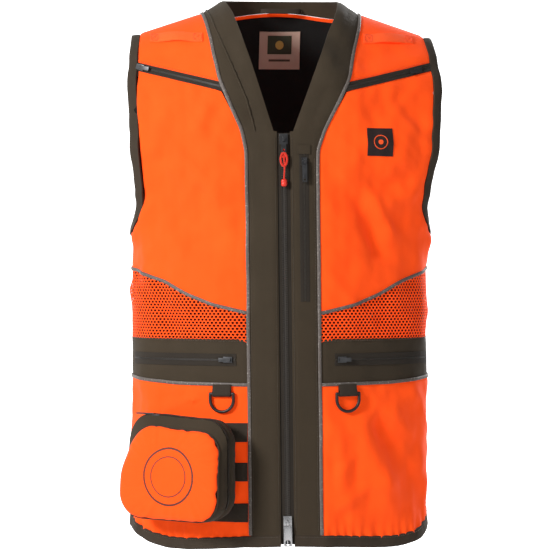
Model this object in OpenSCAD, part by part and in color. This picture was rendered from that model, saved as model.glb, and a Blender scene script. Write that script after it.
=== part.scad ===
// Field vest in its worn shape, zipped up.
// The front faces -Y, +X is the wearer's left and +Z is up.
// The origin lies on the centre plane, level with the shoulder seams.
// Panels are drawn on the torso surface: s is the distance round the torso
// from the centre front, z the height, and depth is measured along the normal.

/* [Torso] */
// Half width at the waist
half_w = 204; // [196:1:212]
// Half depth of the torso
half_depth = 128; // [122:1:134]
// Radius of the torso at the sides
side_r = 90; // [80:1:100]
// Radius of the flatter chest front
chest_r = 450; // [400:10:500]
// Height over which the chest rolls back to the shoulder seam
roll_d = 165; // [150:1:180]
// Drop of the shoulder seam for each millimetre outwards
shoulder_slope = 0.33; // [0.28:0.01:0.38]
// Half width of the neck opening at the shoulder seam
neck_w = 109; // [104:1:114]
// Half width at the top of the collar
collar_w = 79; // [76:1:82]

/* [Front edge] */
// Height of the bottom of the neck opening
vee_z = -172; // [-180:1:-165]
// Height of the hem at the centre front
hem_z = -720; // [-740:1:-700]
// Width of the right placket
placket_right = 49; // [45:1:52]
// Width of the left placket
placket_left = 45; // [42:1:52]
// Half width of the recess that shows the main zip
recess_w = 8.7; // [8:0.1:10]

/* [Trim] */
// Thickness of a fabric panel
cloth_t = 2.2; // [1.5:0.1:3]
// Width of the bindings round the armholes
binding_w = 13; // [10:1:14]
// Height of the hem binding
hem_w = 15; // [12:1:18]
// Width of the reflective piping
piping_w = 4.5; // [3:0.5:6]
// Width of the webbing
webbing_w = 25; // [20:1:25]

/* [Pouch] */
// Width of the pouch
pouch_w = 150; // [130:1:155]
// Height of the pouch
pouch_h = 135; // [120:1:140]
// Depth of the pouch
pouch_d = 50; // [40:1:55]
// Turn of the pouch round the vertical
pouch_turn = 33; // [30:1:36]

/* [Hidden] */
$fn = 32;

// Colours
orange = [1, 0.37, 0.12];
olive = [0.27, 0.22, 0.16];
grey = [0.48, 0.44, 0.42];
dark = [0.08, 0.08, 0.07];
metal = [0.35, 0.35, 0.36];
silver = [0.75, 0.75, 0.76];
plastic = [0.3, 0.22, 0.21];
red = [0.9, 0.2, 0.12];
beige = [0.75, 0.64, 0.57];

// Four-centre oval at the waist
side_cx = half_w - side_r;
front_r = (side_cx * side_cx + half_depth * half_depth - side_r * side_r)
    / (2 * (half_depth - side_r));
front_cy = front_r - half_depth;
join_angle = atan2(side_cx, front_cy);
front_arc = front_r * join_angle * PI / 180;
quarter = front_arc + side_r * (90 - join_angle) * PI / 180;
// Band of height over which the waist oval turns into the flatter chest
mix_low = -300;
mix_high = -180;
// Rise of the surface towards the neck at the centre
neck_rise = 49;
neck_drop = 36;
collar_back_y = 72;
collar_side_z = 18.6;
collar_back_z = 28.5;
// Smallest gaps
seam = 0.5;
ridge_gap = 0.004;
lift = 0.4;

// The front edge isn't quite vertical: its sideways place at each height
edge_shift = [[hem_z, 3.4], [vee_z, -2.6], [-60, 0], [0, 2]];
lean = atan2(6, vee_z - hem_z);

// Lines on the surface as [s, z]
mesh_top = [[50, -412], [97, -401], [135, -387], [163, -372], [201, -361], [230, -355],
    [quarter, -351]];
band_top = [[50, -447], [163, -446], [quarter, -444]];
band_bottom = [[50, -507], [150, -506], [200, -503], [quarter, -499]];
hem_line = [[0, hem_z], [60, -722], [136, -727], [165, -727], [201, -721], [230, -711],
    [quarter, -700]];
zip_in = [82.5, -112.5];
zip_out = [207, -79];
neck_outer = [[-195, 47], [-170, 55], [-106, 85], [0, 110]];
armhole = [[217, -34], [222, -70], [225, -110], [224, -170], [226, -220], [231, -252],
    [240, -274], [251, -290], [quarter - 0.4, -298]];
// Inner edge of the armhole binding, as the edge of the panels
armhole_inner = [[203.8, -31], [208.5, -70], [210.5, -86], [211.5, -170], [213, -220],
    [217.5, -258], [227, -286], [242, -305], [quarter - 0.3, -312.5]];

// Main zip
teeth_gap = 0.7;
teeth_w = 2.4;
zip_y = -half_depth;
slider_z = vee_z - 10;
bottom_slider_z = -689;
slider_half_w = 5.5;
slider_l = 14;
puller_y = zip_y - 3.5;
pin_r = 0.8;
pin_clear = 0.3;

// Waist and placket pockets
waist_zip_z = -474;
waist_zip_h = 16;
placket_zip_s = 26.7;
placket_zip_top = -199;
placket_zip_bottom = -397;
placket_slider_z = -212;

// D-rings
ring_s = 84;
ring_z = -519;
ring_w = 36;
ring_h = 28;
ring_r = 2.1;

// Pouch
pouch_x = -126;
pouch_y = -107;
pouch_z = -616;
pouch_corner = 34;

// Route of the pull cord below its puller, in the zip's own frame
cord_r = 1.1;
cord_points = [[0, -3.5, -18.3], [0, -3.6, -23], [0.4, -3.8, -28], [0.8, -4, -33], [0.9, -4.1, -38],
    [0.6, -4.1, -43], [0.3, -4, -48], [0, -3.9, -53]];

// ---------------------------------------------------------------- surface

function clamp01(t) = max(0, min(1, t));
function smooth(t) = let(u = clamp01(t)) u * u * (3 - 2 * u);

function waist_section(a) = let(b = abs(a), g = sign(a))
    b <= front_arc
    ? let(t = b / front_r * 180 / PI) [g * front_r * sin(t), front_cy - front_r * cos(t)]
    : let(t = join_angle + (b - front_arc) / side_r * 180 / PI)
        [g * (side_cx + side_r * sin(t)), -side_r * cos(t)];

function chest_section(a) = let(t = a / chest_r * 180 / PI)
    [chest_r * sin(t), chest_r * (1 - cos(t)) - half_depth];

function ridge(x) = let(b = abs(x))
    b < neck_w ? neck_rise * pow(1 - pow(b / neck_w, 2), 1.3) : -shoulder_slope * (b - neck_w);

function roll(d) = d >= roll_d ? 1 : d <= 0 ? 0 : sqrt(1 - pow(1 - d / roll_d, 2));

// Point of the torso at s round and z up; s past the side seam is the back
function base(s, z) = let(
    behind = abs(s) > quarter,
    a = behind ? sign(s) * 2 * quarter - s : s,
    m = smooth((z - mix_low) / (mix_high - mix_low)),
    q = waist_section(a) * (1 - m) + chest_section(a) * m,
    y = q[1] * roll(ridge(q[0]) - z)
) [q[0], behind ? -y : y, z];

function normal(s, z) = let(e = 0.5,
    n = cross(base(s + e, z) - base(s - e, z), base(s, z + e) - base(s, z - e))
) n / norm(n);

function skin(s, z, depth) = base(s, z) + depth * normal(s, z);

// Distance round the torso on one side, with the front edge's own shift
function place(side, a, z) = side * a + lookup(z, edge_shift) * clamp01((200 - a) / 140);

function ridge_at(a) = ridge(chest_section(a)[0]);

function zip_line(a) = zip_in[1] + (a - zip_in[0]) * (zip_out[1] - zip_in[1])
    / (zip_out[0] - zip_in[0]);

// Columns of a panel as [s top, z top, s bottom, z bottom]
function columns(list, top, bottom) = [for (a = list) [a, lookup(a, top), a, lookup(a, bottom)]];

// Columns across a ribbon that follows a path, wide to its left and to its right
function ribbon(path, to_left, to_right) = [for (i = [0:len(path) - 1]) let(
    p = path[max(0, i - 1)],
    q = path[min(len(path) - 1, i + 1)],
    d = (q - p) / norm(q - p),
    n = [-d[1], d[0]],
    l = path[i] + n * to_left,
    r = path[i] - n * to_right
) [l[0], l[1], r[0], r[1]]];

function steps(a, b, n) = [for (i = [0:n]) a + (b - a) * i / n];

// ---------------------------------------------------------------- solids

// Closed solid between two grids of points
module shell(outer, inner, flip) {
    n = len(outer) - 1;
    m = len(outer[0]) - 1;
    k = (n + 1) * (m + 1);
    function at(i, j) = i * (m + 1) + j;
    quads = concat(
        [for (i = [0:n - 1], j = [0:m - 1]) [at(i, j), at(i + 1, j), at(i + 1, j + 1), at(i, j + 1)]],
        [for (i = [0:n - 1], j = [0:m - 1])
            [k + at(i, j), k + at(i, j + 1), k + at(i + 1, j + 1), k + at(i + 1, j)]],
        [for (i = [0:n - 1]) [at(i + 1, 0), at(i, 0), k + at(i, 0), k + at(i + 1, 0)]],
        [for (i = [0:n - 1]) [at(i, m), at(i + 1, m), k + at(i + 1, m), k + at(i, m)]],
        [for (j = [0:m - 1]) [at(0, j), at(0, j + 1), k + at(0, j + 1), k + at(0, j)]],
        [for (j = [0:m - 1]) [at(n, j + 1), at(n, j), k + at(n, j), k + at(n, j + 1)]]
    );
    faces = [for (q = quads, t = [[q[0], q[1], q[2]], [q[0], q[2], q[3]]])
        flip ? [t[2], t[1], t[0]] : t];
    polyhedron(points = concat([for (c = outer) each c], [for (c = inner) each c]), faces = faces);
}

// Panel on the torso from its columns; depth from `low` to `high`
module panel(side, cols, rows, low, high, power = 1) {
    function grid(depth) = [for (c = cols) [for (j = [0:rows]) let(
        v = pow(j / rows, power),
        a = c[0] + (c[2] - c[0]) * v,
        z = c[1] + (c[3] - c[1]) * v
    ) skin(place(side, a, z), z, depth)]];
    shell(grid(high), grid(low), side < 0);
}

// Panel on the back: its columns give the distance from the centre back
module back_sheet(cols, rows, low, high, power = 1) {
    function grid(depth) = [for (c = cols) [for (j = [0:rows]) let(
        v = pow(j / rows, power),
        b = c[0] + (c[2] - c[0]) * v,
        z = c[1] + (c[3] - c[1]) * v
    ) skin(2 * quarter + b, z, depth)]];
    shell(grid(high), grid(low), false);
}

// Tube with eight sides along a list of points
module tube(points, r) {
    n = len(points) - 1;
    sides = 8;
    rings = [for (i = [0:n]) let(
        d = points[min(n, i + 1)] - points[max(0, i - 1)],
        w = d / norm(d),
        u0 = cross(w, [0, 1, 0]),
        u = u0 / norm(u0),
        v = cross(w, u)
    ) [for (j = [0:sides - 1]) points[i] + r * (cos(360 * j / sides) * u + sin(360 * j / sides) * v)]];
    faces = concat(
        [[for (j = [0:sides - 1]) j]],
        [for (i = [0:n - 1], j = [0:sides - 1]) let(q = (j + 1) % sides)
            [i * sides + j, (i + 1) * sides + j, (i + 1) * sides + q, i * sides + q]],
        [[for (j = [sides - 1:-1:0]) n * sides + j]]
    );
    polyhedron(points = [for (c = rings) each c], faces = faces);
}

// ---------------------------------------------------------------- shell of the vest

back_columns = [-quarter + 0.3, -242, -227, -217.5, -213, -211.5, -210.5, -208.5, -203.8, -180, -155,
    -130, -109, -88, -66, -44, -22, 0, 22, 44, 66, 88, 109, 130, 155, 180, 203.8, 208.5, 210.5,
    211.5, 213, 217.5, 227, 242, quarter - 0.3];
function back_top(b) = let(c = abs(b), x = chest_section(c)[0])
    c > 203.9 ? lookup(c, armhole_inner)
    : ridge(x) - (x < neck_w ? neck_drop * (1 - pow(x / neck_w, 2)) + 0.6 : 0) - ridge_gap;
coarse = [for (t = steps(-1, 1, 16)) t * (quarter - 0.3)];
back_gap = 2;

module back_panel() color(orange)
    back_sheet([for (b = back_columns) [b, back_top(b), b, lookup(abs(b), mesh_top) + back_gap]],
        8, -cloth_t, 0, 1.7);

module back_mesh() color(orange)
    back_sheet([for (b = coarse) [b, lookup(abs(b), mesh_top), b, lookup(abs(b), band_top) + seam]],
        1, -cloth_t, 0);

module back_waist_band() color(olive)
    back_sheet([for (b = coarse) [b, lookup(abs(b), band_top), b, lookup(abs(b), band_bottom) + seam]],
        1, -cloth_t, 0);

module back_lower_panel() color(orange)
    back_sheet([for (b = coarse) [b, lookup(abs(b), band_bottom), b, lookup(abs(b), hem_line)]],
        1, -cloth_t, 0);

// It has the columns and rows of the back panel, less the top row
function lining_grid(depth) = [for (b = back_columns) if (abs(b) < 205) [for (j = [1:8]) let(
    top = back_top(b),
    z = top + (lookup(abs(b), mesh_top) + back_gap - top) * pow(j / 8, 1.7)
) skin(2 * quarter + b, z, depth)]];
module back_lining() color(dark)
    shell(lining_grid(-cloth_t - 0.8), lining_grid(-cloth_t - 2), false);

// Neck curve at the foot of the collar, and at its top
function collar_foot(t) = let(x = neck_w * sin(t), d = neck_drop * (1 - pow(sin(t), 2)))
    [x, chest_half_depth(x) * roll(d), ridge(x) - d + seam];
function chest_half_depth(x) = half_depth - chest_r + sqrt(chest_r * chest_r - x * x);
function collar_head(t) = [collar_w * sin(t), collar_back_y * cos(t),
    collar_side_z + (collar_back_z - collar_side_z) * cos(t)];

function collar_rim(t, j, inset) = collar_head(t) + (collar_foot(t) - collar_head(t)) * j / 2
    - inset * [sin(t), cos(t), 0.35];

module collar() color(olive) {
    angles = steps(89.6, -89.6, 16);
    shell([for (t = angles) [for (j = [0:2]) collar_rim(t, j, 0)]],
        [for (t = angles) [for (j = [0:2]) collar_rim(t, j, cloth_t)]], false);
}

// Loop that a coat hook goes through, inside the collar
module hanger_loop() color(olive)
    translate([5, collar_back_y - 4, 0])
        difference() {
            translate([-29, -9, 10]) cube([58, 9, 7]);
            translate([-24, -7.6, 9]) cube([48, 6.2, 9]);
        }

module neck_labels() {
    color(beige) back_sheet([for (b = steps(-35.3, 25.3, 4)) [b, -9, b, -62]], 3,
        -cloth_t - 5.2, -cloth_t - 4.2);
    color(dark) back_sheet([for (b = steps(-11, 1, 1)) [b, -62.5, b, -71]], 1,
        -cloth_t - 5.2, -cloth_t - 4.2);
}

// Panel above the diagonal chest zip
module yoke(side) color(orange) {
    outer_line = [86.2, 92, 98, 104, 109.9];
    tops = concat(
        [for (a = outer_line) [a, -106 + (a - 85.6) * 106 / 24.3]],
        [for (a = [125, 145, 165, 185, 203.8]) [a, ridge_at(a) - ridge_gap]]
    );
    panel(side, [for (t = tops) let(a = t[0] > 200 ? 208 : t[0])
        [t[0], min(t[1], ridge_at(t[0]) - ridge_gap), a, zip_line(a) + 6.2]], 7, -cloth_t, 0, 2);
}
module right_yoke() yoke(-1);
module left_yoke() yoke(1);

// Neckbands between the shoulder seams and the chest
module neckbands() color(olive) for (side = [-1, 1])
    panel(side, [for (t = steps(0, 1, 7)) let(
        v = t * t,
        top = [109.6 - 0.2, ridge_at(109.4) - ridge_gap],
        inner = [80.2, ridge_at(80.2) - ridge_gap],
        a = top + ([84.8, -105.5] - top) * v,
        b = inner + ([36, -105.5] - inner) * v
    ) [a[0], a[1], b[0], b[1]]], 3, -cloth_t, 0);

module neck_piping() color(grey)
    for (side = [-1, 1])
        panel(side, ribbon([for (t = steps(0.04, 1, 14)) [110, 0] + [-25, -105.5] * t],
            piping_w / 2, piping_w / 2), 1, 2 * lift, 1.6);

// Webbing loop across each yoke
module shoulder_loops() color(orange)
    for (side = [-1, 1])
        panel(side, [for (a = steps(113, 184, 5)) [a, ridge_at(a) - 5, a, ridge_at(a) - 26]], 3, lift, 2, 1.5);

// Binding over the shoulder and down the back of an armhole
module armhole_binding(side) color(olive) {
    panel(side, [[217, ridge_at(217) - ridge_gap, 204.1, ridge_at(204.1) - ridge_gap],
        [218, -44, 205.2, -44], [221.8, -69.5, 208.9, -69.5]], 1, -cloth_t, 0.8);
    back = concat([[217, ridge_at(217) - ridge_gap, 204.1, ridge_at(204.1) - ridge_gap]],
        [for (i = [1:len(armhole) - 1]) let(c = ribbon(armhole, 0, binding_w)[i]) c]);
    mirror([0, 1, 0])
        panel(side, back, 1, -cloth_t, 0.8);
}
module right_armhole_binding() armhole_binding(-1);
module left_armhole_binding() armhole_binding(1);

// ---------------------------------------------------------------- fronts

function placket_width(side) = side < 0 ? placket_right : placket_left;
function from_placket(side, list) = concat([placket_width(side) + seam], list);

// Panel from the chest zip down to the mesh
module chest_panel(side) color(orange) {
    w = placket_width(side) + seam;
    top = concat([[w, -196], [55.6, -172], [zip_in[0] + 2, zip_line(zip_in[0]) - 6.8]],
        [for (a = [110, 140, 170, 195, 209.8]) [a, zip_line(a) - 6.2]],
        [for (p = armhole_inner) if (p[0] > 211) p]);
    panel(side, columns([for (p = top) p[0]], top, mesh_top_above), 8, -cloth_t, 0, 1.4);
}
mesh_top_above = [for (p = mesh_top) [p[0], p[1] + seam]];
band_top_above = [for (p = band_top) [p[0], p[1] + seam]];
band_bottom_above = [for (p = band_bottom) [p[0], p[1] + seam]];
hem_top = [for (p = hem_line) [p[0], p[1] + hem_w]];
hem_top_above = [for (p = hem_top) [p[0], p[1] + seam]];
round_columns = [80, 110, 140, 170, 195, 215, 235, 250, quarter - 0.4];
module right_chest_panel() chest_panel(-1);
module left_chest_panel() chest_panel(1);

module mesh_panel(side) color(orange)
    panel(side, columns(from_placket(side, round_columns), mesh_top, band_top_above), 2, -1.4, 0);
module right_mesh() mesh_panel(-1);
module left_mesh() mesh_panel(1);

module mesh_lining(side) color(dark)
    panel(side, columns(from_placket(side, round_columns), mesh_top, band_top_above), 1,
        -cloth_t - 1.8, -cloth_t - 0.8);
module right_mesh_lining() mesh_lining(-1);
module left_mesh_lining() mesh_lining(1);

module waist_band(side) color(olive)
    panel(side, columns(from_placket(side, round_columns), band_top, band_bottom_above), 1,
        -cloth_t, 0);
module right_waist_band() waist_band(-1);
module left_waist_band() waist_band(1);

module lower_panel(side) color(orange)
    panel(side, columns(from_placket(side, round_columns), band_bottom, hem_top_above), 3,
        -cloth_t, 0);
module right_lower_panel() lower_panel(-1);
module left_lower_panel() lower_panel(1);

// Facing beside the main zip, with the lower part of the neckband
module placket(side) color(olive) {
    w = placket_width(side);
    slope = (collar_w - 13) / (collar_side_z - vee_z);
    levels = [-106, -140, -171.5, -172.5, -195, -300, -400, -500, -600, hem_z + hem_w + seam];
    panel(side, [for (z = levels)
        [z < -194 ? w : min(lookup(z, neck_outer), 85), z, z > vee_z ? 13 + (z - vee_z) * slope : recess_w, z]],
        3, -cloth_t, 0);
}
module right_placket() placket(-1);
module left_placket() placket(1);

// Reflective piping: along the placket, over the mesh and under the waist band
module piping(side) color(grey) {
    w = placket_width(side) + 0.3;
    down = concat([[85, -106.5], [70, -138], [55, -170], [w, -195]],
        [for (z = [-300, -405, -500, -600, -702]) [w, z]]);
    panel(side, ribbon(down, piping_w / 2, piping_w / 2), 1, lift, 1.4);
    for (line = [mesh_top, band_bottom])
        panel(side, [for (a = concat([w + 3.2], piping_columns))
            [a, lookup(a, line) + piping_w / 2, a, lookup(a, line) - piping_w / 2]], 1, lift, 1.4);
}
// Every column of the panels it lies on, so that it stands clear of them all
piping_columns = [80, 110, 140, 170, 195, 209.8, 213, 217.5, 227, 235, 242, 250, quarter - 0.6];
module right_piping() piping(-1);
module left_piping() piping(1);

module hem_binding(side) color(olive)
    panel(side, columns(concat([recess_w + 0.3], [30, 60], round_columns), hem_top, hem_line), 1,
        -cloth_t, 0.8);
module right_hem_binding() hem_binding(-1);
module left_hem_binding() hem_binding(1);

module front_binding(side) color(olive)
    panel(side, [for (i = [0:len(armhole) - 1]) let(c = ribbon(armhole, 0, binding_w)[i])
        i == 0 ? [222, -70.2, 209, -70.2] : i == 1 ? [222.6, -76, 209.8, -76] : c], 1, -cloth_t, 0.8);
module right_front_binding() front_binding(-1);
module left_front_binding() front_binding(1);

// ---------------------------------------------------------------- main zip

// Frame of the main zip at a height: y is out of the chest, z along the zip
module on_zip(z) translate([lookup(z, edge_shift), zip_y, z]) rotate([0, -lean, 0]) children();

// Tape, teeth and end stop of one half
module zip_half(side) on_zip((vee_z + hem_z) / 2) {
    length = vee_z - hem_z - 4;
    mirror([side < 0 ? 1 : 0, 0, 0]) translate([0, 0, -length / 2]) {
        color(dark) translate([teeth_gap + teeth_w, 3.1, 0]) cube([13, 0.6, length]);
        color(olive) translate([teeth_gap, 0.8, 0]) cube([teeth_w, 2.9, length]);
        color(metal) translate([teeth_gap, 0.6, 0]) cube([3.8, 3.3, 9]);
    }
}
module right_zip() zip_half(-1);
module left_zip() zip_half(1);

// Slider: two plates, the post between them and the bridge that holds the puller
module slider(tall = slider_l) {
    translate([-slider_half_w, -1.2, -tall / 2]) cube([2 * slider_half_w, 1.4, tall]);
    translate([-slider_half_w, 4.2, -tall / 2]) cube([2 * slider_half_w, 1, tall]);
    translate([-0.35, 0, -1]) cube([0.7, 4.4, 4]);
    difference() {
        translate([-1.3, -5.4, -3.2]) cube([2.6, 4.4, 6.4]);
        translate([0, -3.5, 0]) rotate([0, 90, 0]) cylinder(r = pin_r + pin_clear, h = 10, center = true);
    }
}

// Puller: pin through the bridge, two arms and a plate with a hole at its end
module puller(length, wide, hole_r) {
    translate([0, -3.5, 0]) {
        rotate([0, 90, 0]) cylinder(r = pin_r, h = 6, center = true);
        for (x = [-3, 1.8]) translate([x, -0.8, -7]) cube([1.2, 1.6, 7.8]);
        difference() {
            translate([-wide / 2, -0.8, -length]) cube([wide, 1.6, length - 4.2]);
            translate([0, 0, -length + hole_r + 1.6]) rotate([90, 0, 0])
                cylinder(r = hole_r, h = 10, center = true);
        }
    }
}

module top_slider() color(metal) on_zip(slider_z) slider();
module top_puller() color(metal) on_zip(slider_z) puller(18, 6.6, 1.6);
module bottom_slider() color(silver) on_zip(bottom_slider_z) slider(18);
module bottom_puller() color(silver) on_zip(bottom_slider_z) puller(31, 11, 3.6);

// Red cord that hangs from the top puller, and its bead
module pull_cord() color(red) on_zip(slider_z) tube(cord_points, cord_r);
module cord_bead() color(red) on_zip(slider_z)
    translate([0, -3.9, -53.2 - 10]) cylinder(r = 4, h = 10);

// ---------------------------------------------------------------- pockets

// Frame on the front at s and z: y is out of the surface
module on_front(s, z) translate(base(s, z)) rotate([0, 0, s / front_r * 180 / PI])
    rotate([0, -lean, 0]) children();

module placket_zip() color(dark) {
    mid = (placket_zip_top + placket_zip_bottom) / 2;
    length = placket_zip_top - placket_zip_bottom;
    on_front(placket_zip_s + lookup(mid, edge_shift), mid) {
        translate([-6.5, -1.5, -length / 2]) cube([13, 0.8, length]);
        translate([-1.6, -2.2, -length / 2 + 4]) cube([3.2, 0.9, length - 8]);
    }
}
module placket_frame() on_front(placket_zip_s + lookup(placket_slider_z, edge_shift), placket_slider_z)
    children();
module placket_slider() color(metal) placket_frame() {
    translate([-3.6, -3.8, -5.5]) cube([7.2, 1.5, 11]);
    difference() {
        translate([-1.2, -8, -3]) cube([2.4, 4.6, 6]);
        translate([0, -6, 0]) rotate([0, 90, 0]) cylinder(r = pin_r + pin_clear, h = 10, center = true);
    }
}
module placket_puller() color(metal) placket_frame() translate([0, -2.5, 0]) puller(27, 6.4, 1.6);

// Circle through three points: centre and unit axis
function circle_centre(a, b, c) = let(
    u = b - a, v = c - a, n = cross(u, v)
) a + cross((u * u) * v - (v * v) * u, n) / (2 * (n * n));

// Chest zip: a ribbon along the arc through three surface points
function chest_point(side, a) = skin(place(side, a, zip_line(a)), zip_line(a), 0);
function chest_arc(side) = let(
    a = chest_point(side, zip_in[0] + 4), b = chest_point(side, 145), c = chest_point(side, 205),
    m = circle_centre(a, b, c), n = cross(b - a, c - a)
) [m, n / norm(n), a, c];
// Point of the arc at a share of its way, out along the surface normal and up the zip's width
function arc_point(side, t, out, up) = let(
    k = chest_arc(side), m = k[0], n = k[1],
    r = norm(k[2] - m), u = (k[2] - m) / r, v = cross(n, u),
    whole = atan2((k[3] - m) * v, (k[3] - m) * u),
    g = whole * t, radial = cos(g) * u + sin(g) * v
) m + (r + out) * radial + up * n * (side > 0 ? 1 : -1);

module pocket_zips(side) color(dark) {
    cols = steps(0.05, 1, 8);
    shell([for (t = cols) [for (up = [5.5, -5.5]) arc_point(side, t, 0.6, up)]],
        [for (t = cols) [for (up = [5.5, -5.5]) arc_point(side, t, -1.8, up)]], side < 0);
    panel(side, [for (a = concat([70], round_columns)) if (a < 240)
        [a, waist_zip_z + waist_zip_h / 2, a, waist_zip_z - waist_zip_h / 2]], 1, lift, 1.3);
}
module right_pocket_zips() pocket_zips(-1);
module left_pocket_zips() pocket_zips(1);

// Slider that follows the chest zip's arc
module chest_slider(side, t) color(metal) {
    // frame at the arc: x along it, y out, z across
    here = arc_point(side, t, 0, 0);
    ahead = arc_point(side, t + 0.02, 0, 0) - arc_point(side, t - 0.02, 0, 0);
    x = ahead / norm(ahead) * side;
    z = (arc_point(side, t, 0, 1) - here);
    y = cross(z, x);
    multmatrix([[x[0], y[0], z[0], here[0]], [x[1], y[1], z[1], here[1]], [x[2], y[2], z[2], here[2]]]) {
        translate([-6, -3, -3.8]) cube([12, 1.9, 7.6]);
        translate([side > 0 ? -16 : 2, -5, -2.6]) cube([14, 2.2, 5.2]);
    }
}
module right_chest_slider() chest_slider(-1, 0.94);
module left_chest_slider() chest_slider(1, 0.86);

// Slider that runs round the waist with its zip
module waist_slider(side) color(metal)
    translate([0, front_cy, waist_zip_z]) rotate([0, 0, side * 76 / front_r * 180 / PI]) translate([0, -front_r, 0]) {
        translate([-6, -3.8, -4]) cube([12, 2, 8]);
        translate([side > 0 ? -4 : -12, -6, -2.6]) cube([16, 2.4, 5.2]);
    }
module right_waist_slider() waist_slider(-1);
module left_waist_slider() waist_slider(1);

// ---------------------------------------------------------------- webbing

module on_ring(side) on_front(side * ring_s, ring_z) children();

// Folded webbing that holds a D-ring
module ring_tab(side) color(olive) on_ring(side)
    difference() {
        translate([-webbing_w / 2, -6.6, -3.9]) cube([webbing_w, 6, 13]);
        translate([0, -3.6, 0]) rotate([0, 90, 0])
            cylinder(r = ring_r + 0.4, h = 2 * webbing_w, center = true);
    }
module right_ring_tab() ring_tab(-1);
module left_ring_tab() ring_tab(1);

// D-ring: a straight bar and a bow
module ring(side) color(plastic) on_ring(side) translate([0, -3.6, 0]) {
    span = ring_w / 2 - ring_r;
    rotate([0, 90, 0]) cylinder(r = ring_r, h = 2 * span, center = true);
    for (x = [-1, 1]) translate([x * span, 0, 0]) {
        sphere(r = ring_r);
        rotate([0, 180, 0]) cylinder(r = ring_r, h = ring_h - 2 * ring_r - span);
    }
    translate([0, 0, -(ring_h - 2 * ring_r - span)]) rotate([90, 0, 0]) rotate([0, 0, 180])
        rotate_extrude(angle = 180) translate([span, 0]) circle(r = ring_r);
}
module right_ring() ring(-1);
module left_ring() ring(1);

// Three straps of the ladder that the pouch hangs on
module strap_ladder() color(olive)
    for (z = [-570, -622, -676])
        panel(-1, [for (a = [placket_right + 3.5, 80, 110, 140, 170, 186]) [a, z + webbing_w / 2, a, z - webbing_w / 2]],
            1, lift, 1.6);

// Plain patch on the left chest
module chest_patch() color(dark)
    panel(1, [for (a = steps(112, 148, 3)) [a, -166, a, -204]], 2, lift, 1.2);

// ---------------------------------------------------------------- pouch

module in_pouch() translate([pouch_x, pouch_y, pouch_z]) rotate([0, 0, -pouch_turn]) children();

module rounded(w, h, r) {
    square([w - 2 * r, h], center = true);
    square([w, h - 2 * r], center = true);
    for (x = [-1, 1], y = [-1, 1]) translate([x * (w / 2 - r), y * (h / 2 - r)]) circle(r = r);
}
module slab(w, h, r, near, far) translate([0, -near, 0]) rotate([90, 0, 0])
    linear_extrude(height = far - near) rounded(w, h, r);

module pouch_front() color(orange) in_pouch() slab(pouch_w - 8, pouch_h - 8, 30, pouch_d - 7, pouch_d);
module pouch_gusset() color(olive) in_pouch() slab(pouch_w, pouch_h, pouch_corner, 4, pouch_d - 7.3);
module pouch_back() color(olive) in_pouch() slab(pouch_w - 10, pouch_h - 10, 30, 0, 3.7);

// Slider on the pouch's top zip, with its puller pointing to the side
module pouch_slider() color(metal) in_pouch()
    translate([pouch_corner - pouch_w / 2 + 6, -pouch_d / 2, pouch_h / 2 + 0.5]) {
        translate([-6, -4, 0]) cube([12, 8, 2]);
        translate([-32, -3, 1.4]) cube([28, 6, 1.8]);
    }

back_panel();
back_mesh();
back_waist_band();
back_lower_panel();
back_lining();
collar();
hanger_loop();
neck_labels();
right_yoke();
left_yoke();
shoulder_loops();
right_armhole_binding();
left_armhole_binding();
neckbands();
neck_piping();
right_chest_panel();
left_chest_panel();
right_mesh();
left_mesh();
right_mesh_lining();
left_mesh_lining();
right_waist_band();
left_waist_band();
right_lower_panel();
left_lower_panel();
right_placket();
left_placket();
right_piping();
left_piping();
right_hem_binding();
left_hem_binding();
right_zip();
left_zip();
right_pocket_zips();
left_pocket_zips();
right_ring_tab();
left_ring_tab();
right_front_binding();
left_front_binding();
top_slider();
top_puller();
pull_cord();
cord_bead();
bottom_slider();
bottom_puller();
placket_zip();
placket_slider();
placket_puller();
right_chest_slider();
left_chest_slider();
right_waist_slider();
left_waist_slider();
right_ring();
left_ring();
pouch_front();
pouch_gusset();
pouch_back();
pouch_slider();
strap_ladder();
chest_patch();
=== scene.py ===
import math

import bmesh
import bpy
import numpy as np
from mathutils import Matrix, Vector
from mathutils.bvhtree import BVHTree
from mathutils.geometry import delaunay_2d_cdt


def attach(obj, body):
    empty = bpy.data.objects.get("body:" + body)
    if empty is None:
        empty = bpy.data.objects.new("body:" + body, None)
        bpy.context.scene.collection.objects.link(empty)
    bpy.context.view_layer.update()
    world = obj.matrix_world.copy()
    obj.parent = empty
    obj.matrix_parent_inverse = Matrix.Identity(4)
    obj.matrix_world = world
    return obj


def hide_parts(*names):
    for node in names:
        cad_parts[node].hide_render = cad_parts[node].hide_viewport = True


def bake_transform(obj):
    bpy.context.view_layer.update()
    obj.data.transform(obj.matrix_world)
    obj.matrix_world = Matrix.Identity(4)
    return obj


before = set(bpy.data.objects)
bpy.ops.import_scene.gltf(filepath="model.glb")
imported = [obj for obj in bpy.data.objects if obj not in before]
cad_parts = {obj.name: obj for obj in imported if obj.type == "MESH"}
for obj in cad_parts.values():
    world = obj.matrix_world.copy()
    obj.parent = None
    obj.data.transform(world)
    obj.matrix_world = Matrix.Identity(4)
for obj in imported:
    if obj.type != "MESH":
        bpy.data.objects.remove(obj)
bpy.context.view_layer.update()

# Lengths are in millimetres, as in the part's own design, and become metres
# when a mesh is made. s runs round the torso from the centre front, z is up,
# and depth is measured out of the cloth.
MM = 0.001

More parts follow.
